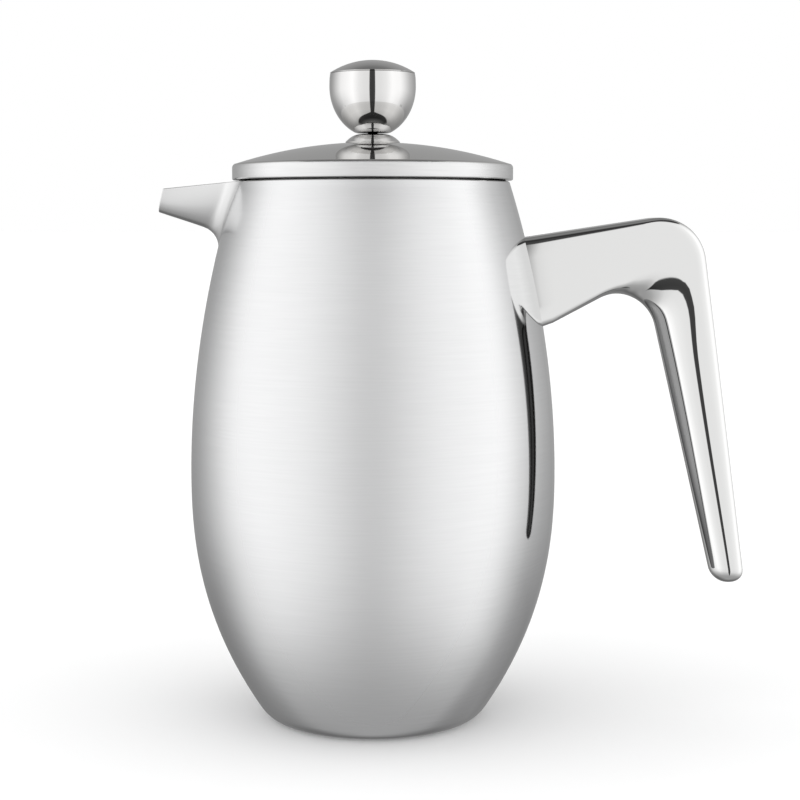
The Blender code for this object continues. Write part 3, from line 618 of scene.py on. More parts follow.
def rounded(corners, steps=4):
    """A closed outline from (radius, height, corner radius) in millimetres, with arcs at its corners."""
    points = []
    count = len(corners)
    for k, (r, z, radius) in enumerate(corners):
        here = Vector((r, z))
        if radius <= 0:
            points.append(here)
            continue
        back = (Vector(corners[k - 1][:2]) - here).normalized()
        ahead = (Vector(corners[(k + 1) % count][:2]) - here).normalized()
        half = back.angle(ahead) / 2
        reach = radius / math.tan(half)
        centre = here + (back + ahead).normalized() * (radius / math.sin(half))
        a, b = here + back * reach - centre, here + ahead * reach - centre
        turn = a.angle(b)
        across = (b - a * (a.dot(b) / a.dot(a))).normalized() * a.length
        for j in range(steps + 1):
            t = turn * j / steps
            points.append(centre + a * math.cos(t) + across * math.sin(t))
    return [(p.x * MM, p.y * MM) for p in points]


def spin(outline, steps=FINE):
    """A solid of revolution about Z from a closed outline in metres, with single points on the axis."""
    builder = bmesh.new()
    rings = []
    for r, z in outline:
        if r < 1e-7:
            rings.append([builder.verts.new((0.0, 0.0, z))])
            continue
        angles = [math.tau * k / steps for k in range(steps)]
        rings.append([builder.verts.new((r * math.cos(a), r * math.sin(a), z)) for a in angles])
    for first, second in zip(rings, rings[1:] + rings[:1]):
        if len(first) == 1 and len(second) == 1:
            continue
        for k in range(steps):
            n = (k + 1) % steps
            a, b = first[k % len(first)], first[n % len(first)]
            c, d = second[n % len(second)], second[k % len(second)]
            builder.faces.new(list(dict.fromkeys((a, b, c, d))))
    return builder


def join_rows(builder, rows, closed=True):
    """Quads between neighbouring rows of vertices."""
    for first, second in zip(rows, rows[1:]):
        count = len(first)
        for k in range(count if closed else count - 1):
            n = (k + 1) % count
            builder.faces.new((first[k], first[n], second[n], second[k]))


print("helpers ready")

# %% [markdown]
# ## The barrel
# The outer wall swells to a belly and closes in to a foot, and no straight line or arc fits it. A power
# curve does: the radius falls from the belly by a set amount for each hundred millimetres, raised to a
# power near two. The sheet is 0.8 mm thick. At the top it turns in to the rim, and at the bottom it rounds
# to a flat foot.

# %% Barrel
SHEET = 0.8
RIM_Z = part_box("inner_liner")[1].z / MM
BELLY_RADIUS, BELLY_Z = 62.0, 83.0
SHOULDER_DROP, SHOULDER_POWER = 16.2, 1.95
FOOT_DROP, FOOT_POWER = 38.8, 2.31
FOOT_INNER, FOOT_RADIUS, FOOT_TOP = 31.0, 33.5, 4.0
RIM_INNER, RIM_ARC = 44.6, 0.8


def barrel_radius(z):
    """Outer radius of the barrel at a height, both in millimetres."""
    rise = (z - BELLY_Z) / 100.0
    if rise >= 0:
        return BELLY_RADIUS - SHOULDER_DROP * rise ** SHOULDER_POWER
    return BELLY_RADIUS - FOOT_DROP * (-rise) ** FOOT_POWER


def barrel_outline():
    """Up the outside from the foot to the rim, then down the inside, a sheet's thickness away."""
    foot_z, rim_z, rows = FOOT_TOP, RIM_Z - 0.9, 72
    outside = [(FOOT_INNER, 0.0), (FOOT_RADIUS - 0.5, 0.0)]
    start, corner = Vector((FOOT_RADIUS, 0.0)), Vector((barrel_radius(0.0), 0.0))
    end = Vector((barrel_radius(foot_z), foot_z))
    for k in range(9):
        t = k / 8
        outside.append(tuple(start * (1 - t) ** 2 + corner * 2 * t * (1 - t) + end * t * t))
    for k in range(1, rows + 1):
        z = foot_z + (rim_z - foot_z) * k / rows
        outside.append((barrel_radius(z), z))
    edge, top = barrel_radius(rim_z), RIM_Z - 0.1
    for k in range(1, 7):
        a = math.radians(15 * k)
        outside.append((edge - RIM_ARC * (1 - math.cos(a)), rim_z + (top - rim_z) * math.sin(a)))
    outside.append((RIM_INNER, top))
    inside = [(RIM_INNER, top - SHEET), (edge - RIM_ARC - SHEET, top - SHEET)]
    for k in range(24):
        z = rim_z - 0.6 - (rim_z - foot_z - 0.6) * k / 23
        inside.append((barrel_radius(z) - SHEET, z))
    inside += [(FOOT_RADIUS + 1.5, SHEET), (FOOT_INNER, SHEET)]
    return [(r * MM, z * MM) for r, z in outside + inside]


# %% [markdown]
# ## The spout
# The spout is a folded trough, V-shaped at the barrel and rounder at the lip, and its lower lip stands
# further out than its edges, so the last drop runs back. Each cross-section is a superellipse. Where the
# trough meets the barrel it flares into a weld that was ground smooth: every strip of the trough is
# followed inwards until it is a fillet's radius from the barrel, then swept round that radius until it
# lies on the wall.

# %% Spout
SPOUT_TIP_X, SPOUT_ROOT_X = 71.1, 43.6
SPOUT_TIP_TOP, SPOUT_ROOT_TOP = 180.0, 182.4
SPOUT_TIP_KEEL, SPOUT_KEEL_SLOPE = 172.2, 0.357
SPOUT_TIP_WIDTH, SPOUT_ROOT_WIDTH = 5.2, 12.2
SPOUT_TIP_POWER, SPOUT_ROOT_POWER = 2.1, 1.3
SPOUT_LEAN = 0.27
SPOUT_WALL = 1.2
SPOUT_STRIPS = 40
FILLET_SIDE, FILLET_KEEL = 4.2, 6.5
NOTCH_CLEARANCE, NOTCH_INNER = 0.3, 43.45


def spout_point(x, strip, grow=0.0):
    """(y, z) of one strip of the trough at x from the axis, moved out by grow, all in millimetres."""
    share = min(1.0, max(0.0, (SPOUT_TIP_X - x) / (SPOUT_TIP_X - SPOUT_ROOT_X)))
    top = SPOUT_TIP_TOP + (SPOUT_ROOT_TOP - SPOUT_TIP_TOP) * share
    keel = SPOUT_TIP_KEEL - SPOUT_KEEL_SLOPE * (SPOUT_TIP_X - x)
    width = SPOUT_TIP_WIDTH + (SPOUT_ROOT_WIDTH - SPOUT_TIP_WIDTH) * share ** 1.25 + grow
    power = SPOUT_TIP_POWER + (SPOUT_ROOT_POWER - SPOUT_TIP_POWER) * share
    angle = math.pi * strip / SPOUT_STRIPS
    side_sign = 1 if strip <= SPOUT_STRIPS / 2 else -1
    y = side_sign * width * abs(math.cos(angle)) ** (2 / power)
    z = top - (top - keel + grow) * abs(math.sin(angle)) ** (2 / power)
    return y, z


def reach_barrel(strip, clearance, grow):
    """The distance from the axis at which a strip is this far from the barrel's wall."""
    near, far = 30.0, 80.0
    for _ in range(40):
        x = (near + far) / 2
        y, z = spout_point(x, strip, grow)
        if math.hypot(x, y) - barrel_radius(z) > clearance:
            far = x
        else:
            near = x
    return x


def make_spout():
    """The trough and its fillet, outside and inside, row by row from the lip to the wall."""
    trough_rows, fillet_rows = 16, 8
    outside = [[] for _ in range(trough_rows + fillet_rows + 3)]
    inside = [[] for _ in outside]
    for strip in range(SPOUT_STRIPS + 1):
        lowness = math.sin(math.pi * strip / SPOUT_STRIPS) ** 4
        fillet = FILLET_SIDE + (FILLET_KEEL - FILLET_SIDE) * lowness
        start = reach_barrel(strip, fillet, 0.0)
        for k in range(trough_rows + 1):
            share = k / trough_rows
            x = SPOUT_TIP_X + (start - SPOUT_TIP_X) * share
            for rows, grow in ((outside, 0.0), (inside, -SPOUT_WALL)):
                y, z = spout_point(x, strip, grow)
                lean = SPOUT_LEAN * (1 - share) ** 2 * (SPOUT_TIP_TOP - z - 4.0)
                rows[k].append((-(x + lean), y, z))
        for k in range(1, fillet_rows + 1):
            a = math.radians(90 * k / fillet_rows)
            grow = fillet * (1 - math.cos(a))
            x = reach_barrel(strip, fillet * (1 - math.sin(a)) - 0.12, grow)
            outside[trough_rows + k].append((-x, *spout_point(x, strip, grow)))
        x = reach_barrel(strip, -0.7, 0.0)
        outside[-2].append((-x, *spout_point(x, strip, 0.0)))
        y, z = spout_point(SPOUT_ROOT_X, strip, 0.0)
        outside[-1].append((-math.sqrt(SPOUT_ROOT_X ** 2 - y ** 2), y, z))
        for k in range(1, fillet_rows + 3):
            x = start + (SPOUT_ROOT_X - start) * k / (fillet_rows + 2)
            y, z = spout_point(x, strip, -SPOUT_WALL)
            if k == fillet_rows + 2:
                x = math.sqrt(SPOUT_ROOT_X ** 2 - y ** 2)
            inside[trough_rows + k].append((-x, y, z))
    builder = bmesh.new()
    rows = [[builder.verts.new(Vector(p) * MM) for p in out_row + in_row[::-1]]
            for out_row, in_row in zip(outside, inside)]
    join_rows(builder, rows)
    for row in (rows[0], rows[-1]):
        for k in range(SPOUT_STRIPS):
            builder.faces.new((row[k], row[k + 1], row[-k - 2], row[-k - 1]))
    obj = finish_mesh("spout_trough", builder, [spout_steel], "carafe", "spout", slot="polished_steel")
    soften = obj.modifiers.new("soft_edges", "BEVEL")
    soften.width = 0.3 * MM
    soften.segments = 3
    soften.limit_method = "ANGLE"
    soften.angle_limit = math.radians(50)
    return obj


def notch_solid(name, grow, inner_radius):
    """The trough's outline, moved out by grow and carried far up, as a solid that cuts the walls."""
    builder = bmesh.new()
    rows = []
    for x in (76.0, 70.0, 64.0, 60.0, 56.0, 52.0, 48.0, 44.0):
        section = [spout_point(x, strip, grow) for strip in range(0, SPOUT_STRIPS + 1, 2)]
        above = RIM_Z + 20.0
        section = [(section[0][0], above)] + section + [(section[-1][0], above)]
        rows.append([(-x, y, z) for y, z in section])
    rows.append([(-math.sqrt(inner_radius ** 2 - y ** 2), y, z) for _, y, z in rows[-1]])
    rows = [[builder.verts.new(Vector(p) * MM) for p in row] for row in rows]
    join_rows(builder, rows)
    for row in (rows[0], rows[-1]):
        count = len(row)
        for k in range((count - 1) // 2):
            corners = [row[k], row[k + 1], row[count - 2 - k], row[count - 1 - k]]
            builder.faces.new(list(dict.fromkeys(corners)))
    bmesh.ops.recalc_face_normals(builder, faces=builder.faces[:])
    mesh = bpy.data.meshes.new(name)
    builder.to_mesh(mesh)
    builder.free()
    return bpy.data.objects.new(name, mesh)


def cut_with(obj, tool):
    """Cuts once and for all, and removes the tool."""
    scene.collection.objects.link(tool)
    modifier = obj.modifiers.new("cut", "BOOLEAN")
    modifier.operation = "DIFFERENCE"
    modifier.solver = "EXACT"
    modifier.object = tool
    bpy.context.view_layer.update()
    evaluated = obj.evaluated_get(bpy.context.evaluated_depsgraph_get())
    mesh = bpy.data.meshes.new_from_object(evaluated)
    obj.modifiers.remove(modifier)
    obj.data = mesh
    bpy.data.objects.remove(tool)
    mesh.set_sharp_from_angle(angle=math.radians(35.0))


barrel = finish_mesh("barrel", spin(barrel_outline()), [barrel_steel], "carafe", "outer_shell",
                     slot="brushed_steel")
cut_with(barrel, notch_solid("notch", NOTCH_CLEARANCE, NOTCH_INNER))
make_spout()

# %% [markdown]
# ## The cup inside
# The drink stands in a second, straight-walled cup. Its floor is rounded, its lip folds over the rim, and
# the same trough shape is cut through it, so the spout opens into it.

# %% Inner cup and bottom disc
BORE = 42.5
FLOOR_Z = 14.8
LINER_LIP = 44.2
DISC_RADIUS = 30.6
CHANNEL_INNER = 34.0


def liner_outline():
    """Along the inside from the middle of the floor to the lip, and back along the outside."""
    corners = [(0.0, FLOOR_Z, 0), (BORE, FLOOR_Z, 8.0), (BORE, RIM_Z, 1.0), (LINER_LIP, RIM_Z, 0.3),
               (LINER_LIP, RIM_Z - SHEET, 0.0), (BORE + SHEET, RIM_Z - SHEET, 0.3),
               (BORE + SHEET, FLOOR_Z - SHEET, 8.8), (0.0, FLOOR_Z - SHEET, 0)]
    return rounded(corners, 8)


liner = finish_mesh("cup", spin(liner_outline()), [liner_steel], "carafe", "inner_liner",
                    slot="satin_steel")
cut_with(liner, notch_solid("lip_notch", NOTCH_CLEARANCE, NOTCH_INNER))
cut_with(liner, notch_solid("channel", -SPOUT_WALL, CHANNEL_INNER))

disc = rounded([(0.0, 0.0, 0), (DISC_RADIUS, 0.0, 0.25), (DISC_RADIUS, SHEET, 0.25), (0.0, SHEET, 0)])
finish_mesh("bottom_disc", spin(disc), [liner_steel], "carafe", "base_plate", slot="satin_steel")

# %% [markdown]
# ## The handle
# The handle is one casting: a deep arm, a round elbow and a tapering grip that hangs free. Its outer face
# is flat with small rounded corners, and its inner side is round for the fingers. Seen from the side its
# two outlines are each a line, an arc and a line. The section between them changes smoothly along the way,
# so it is built as a run of sections whose proportions are read from short tables and blended with a
# smooth curve.

# %% Handle
HANDLE_OUTER, OUTER_CORNER = ((50.8, 163.7), (109.6, 172.6), (126.95, 50.5)), 16.0
HANDLE_INNER, INNER_CORNER = ((58.1, 133.9), (91.9, 151.4), (115.8, 50.5)), 14.0
FACING = ((0.0, 0.0), (0.5, 1.0), (1.0, 1.25), (1.5, 1.5), (2.0, 1.85), (2.2, 2.05), (3.0, 3.0))
THICKNESS = ((0.0, 19.6), (1.0, 18.0), (2.0, 16.6), (3.0, 11.0))
OUTER_DEPTH = ((0.0, 2.7), (1.0, 2.4), (1.6, 4.0), (2.0, 4.8), (2.2, 4.8), (3.0, 3.8))
OUTER_ROUND = ((0.0, 2.7), (1.0, 2.2), (2.0, 1.7), (3.0, 1.5))
INNER_DEPTH = ((0.0, 2.6), (0.6, 3.2), (1.0, 5.0), (1.3, 9.8), (1.6, 14.0), (2.0, 16.0), (2.1, 14.2),
               (2.3, 11.0), (3.0, 6.7))
INNER_SHARE = ((0.0, 0.28), (0.5, 0.5), (1.0, 0.85), (2.0, 0.96), (3.0, 0.96))
INNER_POWER = ((0.0, 2.0), (1.0, 2.3), (1.3, 2.3), (1.6, 1.9), (2.0, 1.7), (3.0, 1.7))
END_LENGTH = 5.7


def blended(table, t):
    """Smooth reading of a (place, value) table: a cubic through its points that never overshoots."""
    places, values = [p for p, _ in table], [v for _, v in table]
    steps = [(values[k + 1] - values[k]) / (places[k + 1] - places[k]) for k in range(len(table) - 1)]
    slopes = [steps[0]]
    for a, b in zip(steps, steps[1:]):
        slopes.append(0.0 if a * b <= 0 else 2 * a * b / (a + b))
    slopes.append(steps[-1])
    k = max(j for j in range(len(table) - 1) if j == 0 or places[j] <= t)
    width = places[k + 1] - places[k]
    u = (t - places[k]) / width
    low, high = values[k], values[k + 1]
    return (low * (1 + 2 * u) * (1 - u) ** 2 + high * u * u * (3 - 2 * u)
            + width * (slopes[k] * u * (1 - u) ** 2 + slopes[k + 1] * u * u * (u - 1)))


def outline_point(points, radius, t):
    """A point on line, arc, line: t runs 0 to 1, 1 to 2 and 2 to 3 along them."""
    start, corner, end = (Vector(p) for p in points)
    back, ahead = (start - corner).normalized(), (end - corner).normalized()
    half = back.angle(ahead) / 2
    reach = radius / math.tan(half)
    first, last = corner + back * reach, corner + ahead * reach
    if t <= 1:
        return start.lerp(first, t)
    if t >= 2:
        return last.lerp(end, t - 2)
    centre = corner + (back + ahead).normalized() * (radius / math.sin(half))
    a, b = first - centre, last - centre
    across = (b - a * (a.dot(b) / a.dot(a))).normalized() * a.length
    turn = a.angle(b) * (t - 1)
    return centre + a * math.cos(turn) + across * math.sin(turn)


def handle_ring(place):
    """Points round the handle at one place along it, in millimetres."""
    outer = outline_point(HANDLE_OUTER, OUTER_CORNER, place)
    inner = outline_point(HANDLE_INNER, INNER_CORNER, blended(FACING, place))
    width, half = (inner - outer).length, blended(THICKNESS, place) / 2
    outer_depth, corner = blended(OUTER_DEPTH, place), blended(OUTER_ROUND, place)
    depth, narrow = blended(INNER_DEPTH, place), half * blended(INNER_SHARE, place)
    power = 2 / blended(INNER_POWER, place)
    quarter = [math.radians(90 * k / 20) for k in range(21)]
    ring = [(0.0, 0.0), (0.0, (half - corner) / 2)]
    ring += [(outer_depth * (1 - math.cos(a)), half - corner * (1 - math.sin(a))) for a in quarter]
    ring += [(outer_depth + (width - depth - outer_depth) * k / 6, half) for k in range(1, 6)]
    ring += [(width - depth * (1 - math.sin(a) ** power), half - narrow * (1 - abs(math.cos(a)) ** power))
             for a in quarter]
    ring += [(width, 0.0)]
    ring += [(u, -v) for u, v in reversed(ring[1:-1])]
    along = (inner - outer).normalized()
    spots = [(outer + along * u, v) for u, v in ring]
    return [Vector((p.x, v, p.y)) for p, v in spots]


def make_handle():
    """Sections from the barrel to the grip's end, and a round end beyond them."""
    places = [k / 16 for k in range(16)] + [1 + k / 28 for k in range(28)] + [2 + k / 24 for k in range(25)]
    rings = [handle_ring(place) for place in places]
    for point in rings[0]:
        point.x = math.sqrt((barrel_radius(point.z) - 0.25) ** 2 - point.y ** 2)
    last = rings[-1]
    middle = (last[0] + last[len(last) // 2]) / 2
    run = Vector(HANDLE_OUTER[2]) + Vector(HANDLE_INNER[2])
    run -= Vector(HANDLE_OUTER[1]) + Vector(HANDLE_INNER[1])
    down = Vector((run.x, 0.0, run.y)).normalized()
    for k in range(1, 10):
        a = math.radians(9.7 * k)
        shrink, reach = math.cos(a), END_LENGTH * math.sin(a)
        rings.append([middle + (p - middle) * shrink + down * reach for p in last])
    builder = bmesh.new()
    rows = [[builder.verts.new(p * MM) for p in ring] for ring in rings]
    join_rows(builder, rows)
    builder.faces.new(rows[0])
    builder.faces.new(rows[-1])
    return finish_mesh("cast_handle", builder, [handle_steel], "carafe", "handle", sharp=60.0,
                       slot="polished_steel")


make_handle()

# %% [markdown]
# ## The lid
# The lid is a shallow dome spun from one sheet, with a short upright band. The dome is buffed and the band
# is brushed, so its faces carry two materials. The band's edge turns in under a flat pan. A skirt below it
# runs in the cup, with a row of slots towards the spout that hold back stray grounds.

# %% Lid
BAND_RADIUS, BAND_Z, BAND_ROUND, LIP_RADIUS = 47.2, RIM_Z + 0.3, 0.5, 45.0
DOME_EDGE_Z, DOME_TOP_Z, DOME_CORNER = RIM_Z + 5.8, RIM_Z + 13.0, 1.4
STEM_HOLE = 5.3
PAN_Z = RIM_Z + 1.9


def dome_height(radius):
    """Height of the dome's outside at a distance from the axis: part of a sphere."""
    edge, sag = BAND_RADIUS - DOME_CORNER, DOME_TOP_Z - DOME_EDGE_Z
    sphere = (edge ** 2 + sag ** 2) / (2 * sag)
    return DOME_TOP_Z - sphere + math.sqrt(sphere ** 2 - radius ** 2)


def make_lid():
    """The dome and its band as one sheet, with a material for each."""
    edge, corner_z = BAND_RADIUS - DOME_CORNER, DOME_EDGE_Z - DOME_CORNER
    rows = 40
    top = [STEM_HOLE + (edge - STEM_HOLE) * k / rows for k in range(rows + 1)]
    outside = [(r, dome_height(r)) for r in top]
    for degrees in (60, 45, 30, 15, 0):
        a = math.radians(degrees)
        outside.append((edge + DOME_CORNER * math.cos(a), corner_z + DOME_CORNER * math.sin(a)))
    for degrees in (0, 30, 60, 90):
        a = math.radians(degrees)
        turned_in, up = BAND_ROUND * (1 - math.cos(a)), BAND_ROUND * (1 - math.sin(a))
        outside.append((BAND_RADIUS - turned_in, BAND_Z + up))
    outside.append((LIP_RADIUS, BAND_Z))
    inside = [(LIP_RADIUS, BAND_Z + SHEET), (BAND_RADIUS - SHEET - 0.3, BAND_Z + SHEET + 0.1),
              (BAND_RADIUS - SHEET, BAND_Z + SHEET + 0.4), (BAND_RADIUS - SHEET, corner_z)]
    inside += [(r, dome_height(r) - SHEET) for r in reversed(top[::4])]
    builder = spin([(r * MM, z * MM) for r, z in outside + inside])
    for face in builder.faces:
        middle = face.calc_center_median()
        upright = math.hypot(middle.x, middle.y) > (BAND_RADIUS - 0.25) * MM
        face.material_index = 1 if upright else 0
    return finish_mesh("lid_top", builder, [dome_steel, band_steel], "lid", "lid_dome",
                       slot="polished_steel")


make_lid()

# %% [markdown]
# Under the dome sit the pan, the slotted skirt and the black silicone ring. The slots are cut with one
# tool that holds all the blocks.

# %% Pan, skirt and seal
SKIRT_OUT, SKIRT_LOW = 41.0, RIM_Z - 15.5
SKIRT_IN, SKIRT_TOP = SKIRT_OUT - SHEET, PAN_Z - 0.3
SEAL_RADIUS, SEAL_LOW = 44.2, RIM_Z + 0.3
PAN_DEPTH = 2.4
SLOTS, SLOT_PITCH, SLOT_SIZE, SLOT_Z = 9, 4.2, (4.0, 1.6, 10.2), SKIRT_LOW + 7.3


def make_pan():
    """A flat plate with a turned-up edge, just inside the band."""
    outer, top = BAND_RADIUS - SHEET - 0.3, PAN_Z + PAN_DEPTH
    corners = [(STEM_HOLE, PAN_Z, 0.1), (outer, PAN_Z, 1.2), (outer, top, 0.3), (outer - SHEET, top, 0.3),
               (outer - SHEET, PAN_Z + SHEET, 0.4), (STEM_HOLE, PAN_Z + SHEET, 0.1)]
    return finish_mesh("pan", spin(rounded(corners)), [plate_steel], "lid", "lid_pan", slot="satin_steel")


def block_ring(name, count, pitch_degrees, radius, size, z):
    """One tool of upright blocks in an arc round the axis, centred on the spout's side."""
    builder = bmesh.new()
    for k in range(count):
        angle = math.radians(180 + pitch_degrees * (k - (count - 1) / 2))
        made = bmesh.ops.create_cube(builder, size=1.0)["verts"]
        for vert in made:
            out, across = (radius + vert.co.x * size[0]) * MM, vert.co.y * size[1] * MM
            vert.co = (out * math.cos(angle) - across * math.sin(angle),
                       out * math.sin(angle) + across * math.cos(angle), (z + vert.co.z * size[2]) * MM)
    mesh = bpy.data.meshes.new(name)
    builder.to_mesh(mesh)
    builder.free()
    return bpy.data.objects.new(name, mesh)


make_pan()
skirt_outline = rounded([(SKIRT_OUT, SKIRT_LOW, 0.3), (SKIRT_OUT, SKIRT_TOP, 0.1),
                         (SKIRT_IN, SKIRT_TOP, 0.1), (SKIRT_IN, SKIRT_LOW, 0.3)])
skirt = finish_mesh("slotted_skirt", spin(skirt_outline), [liner_steel], "lid", "strainer_skirt",
                    slot="satin_steel")
cut_with(skirt, block_ring("slots", SLOTS, SLOT_PITCH, SKIRT_OUT, SLOT_SIZE, SLOT_Z))

seal_outline = rounded([(SKIRT_OUT + 0.3, SEAL_LOW, 0.2), (SEAL_RADIUS, SEAL_LOW, 0.5),
                        (SEAL_RADIUS, SKIRT_TOP, 0.3), (SKIRT_OUT + 0.3, SKIRT_TOP, 0.2)])
finish_mesh("seal_ring", spin(seal_outline), [silicone], "gasket", "lid_seal", slot="seal_rubber")

# %% [markdown]
# ## Collar and sleeve
# A turned collar flares out on the dome and guides the rod. Its threaded stem goes through the lid to a
# nut.

# %% Collar, nut and sleeve
COLLAR_TOP = RIM_Z + 15.8
COLLAR_RADIUS, COLLAR_NECK, COLLAR_POWER = 9.2, 4.5, 1.95
COLLAR_BORE, COLLAR_MOUTH = 3.7, 3.0
STEM_RADIUS, STEM_LOW = 4.9, RIM_Z - 4.4
ROD_RADIUS, THREAD_RADIUS = 2.5, 1.9
SLEEVE_BORE, SLEEVE_RADIUS, SLEEVE_HEAD = ROD_RADIUS + 0.2, 3.4, 4.7
SLEEVE_LOW, SLEEVE_TOP = STEM_LOW - 1.4, COLLAR_TOP - 1.3


def threaded(radius, low, high, pitch, depth):
    """A run of (radius, height) points that zigzags like a fine thread."""
    count = int((high - low) / pitch)
    points = []
    for k in range(count):
        z = low + (high - low) * k / count
        points += [(radius - depth, z), (radius, z + pitch * 0.5)]
    return points + [(radius - depth, high)]


def make_collar():
    """The flare is a power curve, close to a parabola, up to the neck. The bore narrows at its mouth."""
    foot = dome_height(COLLAR_RADIUS) + 0.05
    brim, neck_z = foot + 0.35, COLLAR_TOP - 0.1
    flare = []
    for k in range(25):
        share = 1 - k / 24
        flare.append((COLLAR_NECK + (COLLAR_RADIUS - COLLAR_NECK) * share,
                      brim + (neck_z - brim) * (1 - share ** COLLAR_POWER)))
    outline = threaded(STEM_RADIUS, STEM_LOW, PAN_Z, 0.8, 0.35)
    outline += [(STEM_RADIUS, dome_height(STEM_RADIUS) + 0.05), (COLLAR_RADIUS - 0.15, foot)] + flare
    outline += [(COLLAR_MOUTH + 0.3, COLLAR_TOP), (COLLAR_MOUTH, COLLAR_TOP - 0.3),
                (COLLAR_MOUTH, COLLAR_TOP - 1.0), (COLLAR_BORE, COLLAR_TOP - 1.0), (COLLAR_BORE, STEM_LOW)]
    builder = spin([(r * MM, z * MM) for r, z in outline], SMALL)
    return finish_mesh("collar", builder, [mirror_steel], "lid", "guide_collar", slot="polished_steel")


def hexagon_nut(name, across_flats, hole, low, high, body, replaced, chamfer=0.7):
    """A turned and milled nut: a hexagon whose corners are chamfered by the lathe at both faces."""
    steps, sixth = 96, math.tau / 6
    flat, corner = across_flats / 2, across_flats / 2 / math.cos(sixth / 2)
    builder = bmesh.new()
    profile = ((hole, low + 0.3), (hole + 0.3, low), (None, 0.0), (None, 1.0), (None, 2.0), (None, 3.0),
               (hole + 0.3, high), (hole, high - 0.3))
    rings = []
    for kind, z in profile:
        ring = []
        for k in range(steps):
            angle = math.tau * k / steps
            off_flat = (angle + sixth / 2) % sixth - sixth / 2
            side_reach = flat / math.cos(off_flat)
            if kind is not None:
                reach, height = kind, z
            else:
                fall = chamfer * max(0.0, side_reach - (flat - 0.35)) / (corner - flat + 0.35)
                reach = flat - 0.35 if z in (0.0, 3.0) else side_reach
                height = {0.0: low, 1.0: low + fall, 2.0: high - fall, 3.0: high}[z]
            point = Vector((reach * math.cos(angle), reach * math.sin(angle), height))
            ring.append(builder.verts.new(point * MM))
        rings.append(ring)
    join_rows(builder, rings + rings[:1])
    return finish_mesh(name, builder, [turned_steel], body, replaced, sharp=25.0, slot="satin_steel")


make_collar()
hexagon_nut("lid_nut", 14.0, STEM_RADIUS + 0.1, PAN_Z - 4.5, PAN_Z - 0.3, "lid", "collar_nut")
sleeve = rounded([(SLEEVE_BORE, SLEEVE_LOW, 0.2), (SLEEVE_HEAD, SLEEVE_LOW, 0.3),
                  (SLEEVE_HEAD, SLEEVE_LOW + 1.1, 0.2), (SLEEVE_RADIUS, SLEEVE_LOW + 1.1, 0.0),
                  (SLEEVE_RADIUS, SLEEVE_TOP, 0.2), (SLEEVE_BORE, SLEEVE_TOP, 0.1)])
finish_mesh("sleeve", spin(sleeve, SMALL), [sleeve_plastic], "bush", "rod_bush", slot="bush_plastic")

# %% [markdown]
# ## Knob and rod
# The knob is an egg cup with a domed cap pressed into it, and a crisp edge between the two. A nut inside
# the cup holds it on the rod, whose two ends are threaded.

# %% Knob and rod
KNOB_Z = COLLAR_TOP + 0.3
KNOB_RADIUS, KNOB_FOOT = 14.5, 5.6
KNOB_WIDEST, KNOB_SIDE_TOP, KNOB_RIM = KNOB_Z + 15.4, KNOB_Z + 18.2, KNOB_Z + 19.6
KNOB_RIM_RADIUS, KNOB_TOP = 14.25, KNOB_Z + 24.2
KNOB_BORE, KNOB_FLOOR = 7.5, KNOB_Z + 4.2
THREAD_HOLE, WASHER_RADIUS = 2.2, 5.0


def make_knob():
    """The cup is part of an ellipse up to its widest place, then nearly upright, then slanted in."""
    lowest = math.acos(KNOB_FOOT / KNOB_RADIUS)
    height = (KNOB_WIDEST - KNOB_Z) / math.sin(lowest)
    rows = 36
    outline = [(THREAD_HOLE, KNOB_Z), (KNOB_FOOT - 0.3, KNOB_Z)]
    for k in range(rows + 1):
        a = lowest * (1 - k / rows)
        chamfer = 0.1 if k == 0 else 0.0
        outline.append((KNOB_RADIUS * math.cos(a), KNOB_WIDEST - height * math.sin(a) + chamfer))
    outline += [(KNOB_RADIUS - 0.02, KNOB_WIDEST + 1.2), (KNOB_RADIUS - 0.08, KNOB_SIDE_TOP),
                (KNOB_RIM_RADIUS, KNOB_RIM - 0.05), (KNOB_RIM_RADIUS - 0.1, KNOB_RIM),
                (KNOB_BORE, KNOB_RIM), (KNOB_BORE, KNOB_FLOOR), (THREAD_HOLE, KNOB_FLOOR)]
    builder = spin([(r * MM, z * MM) for r, z in outline], FINE)
    return finish_mesh("knob", builder, [mirror_steel], "plunger", "knob_cup", slot="polished_steel")


def make_knob_cap():
    """A shallow dome with a spigot below it that sits in the cup."""
    low, spigot = KNOB_RIM + 0.08, KNOB_BORE - 0.3
    sag = KNOB_TOP - low - 0.3
    sphere = (KNOB_RIM_RADIUS ** 2 + sag ** 2) / (2 * sag)
    rows = 32
    dome = [KNOB_RIM_RADIUS * k / rows for k in range(rows, -1, -1)]
    outline = [(0.0, low - 2.8), (spigot, low - 2.8), (spigot, low), (KNOB_RIM_RADIUS - 0.15, low)]
    outline += [(r, KNOB_TOP - sphere + math.sqrt(sphere ** 2 - r ** 2)) for r in dome]
    builder = spin([(r * MM, z * MM) for r, z in outline], FINE)
    return finish_mesh("cap", builder, [mirror_steel], "plunger", "knob_cap", slot="polished_steel")


def make_rod():
    """A plain bar with a thread at each end, for the filter below and the knob above."""
    foot, thread_top, top = 19.9, 31.3, KNOB_Z + 10.6
    outline = [(0.0, foot)] + threaded(THREAD_RADIUS, foot + 0.2, thread_top, 0.7, 0.3)
    outline += [(ROD_RADIUS - 0.2, thread_top), (ROD_RADIUS, thread_top + 0.2),
                (ROD_RADIUS, COLLAR_TOP - 0.2), (ROD_RADIUS - 0.2, COLLAR_TOP)]
    outline += threaded(THREAD_RADIUS, COLLAR_TOP + 0.05, top - 0.3, 0.7, 0.3) + [(0.0, top)]
    builder = spin([(r * MM, z * MM) for r, z in outline], SMALL)
    return finish_mesh("rod", builder, [mirror_steel], "plunger", "plunger_rod", slot="polished_steel")


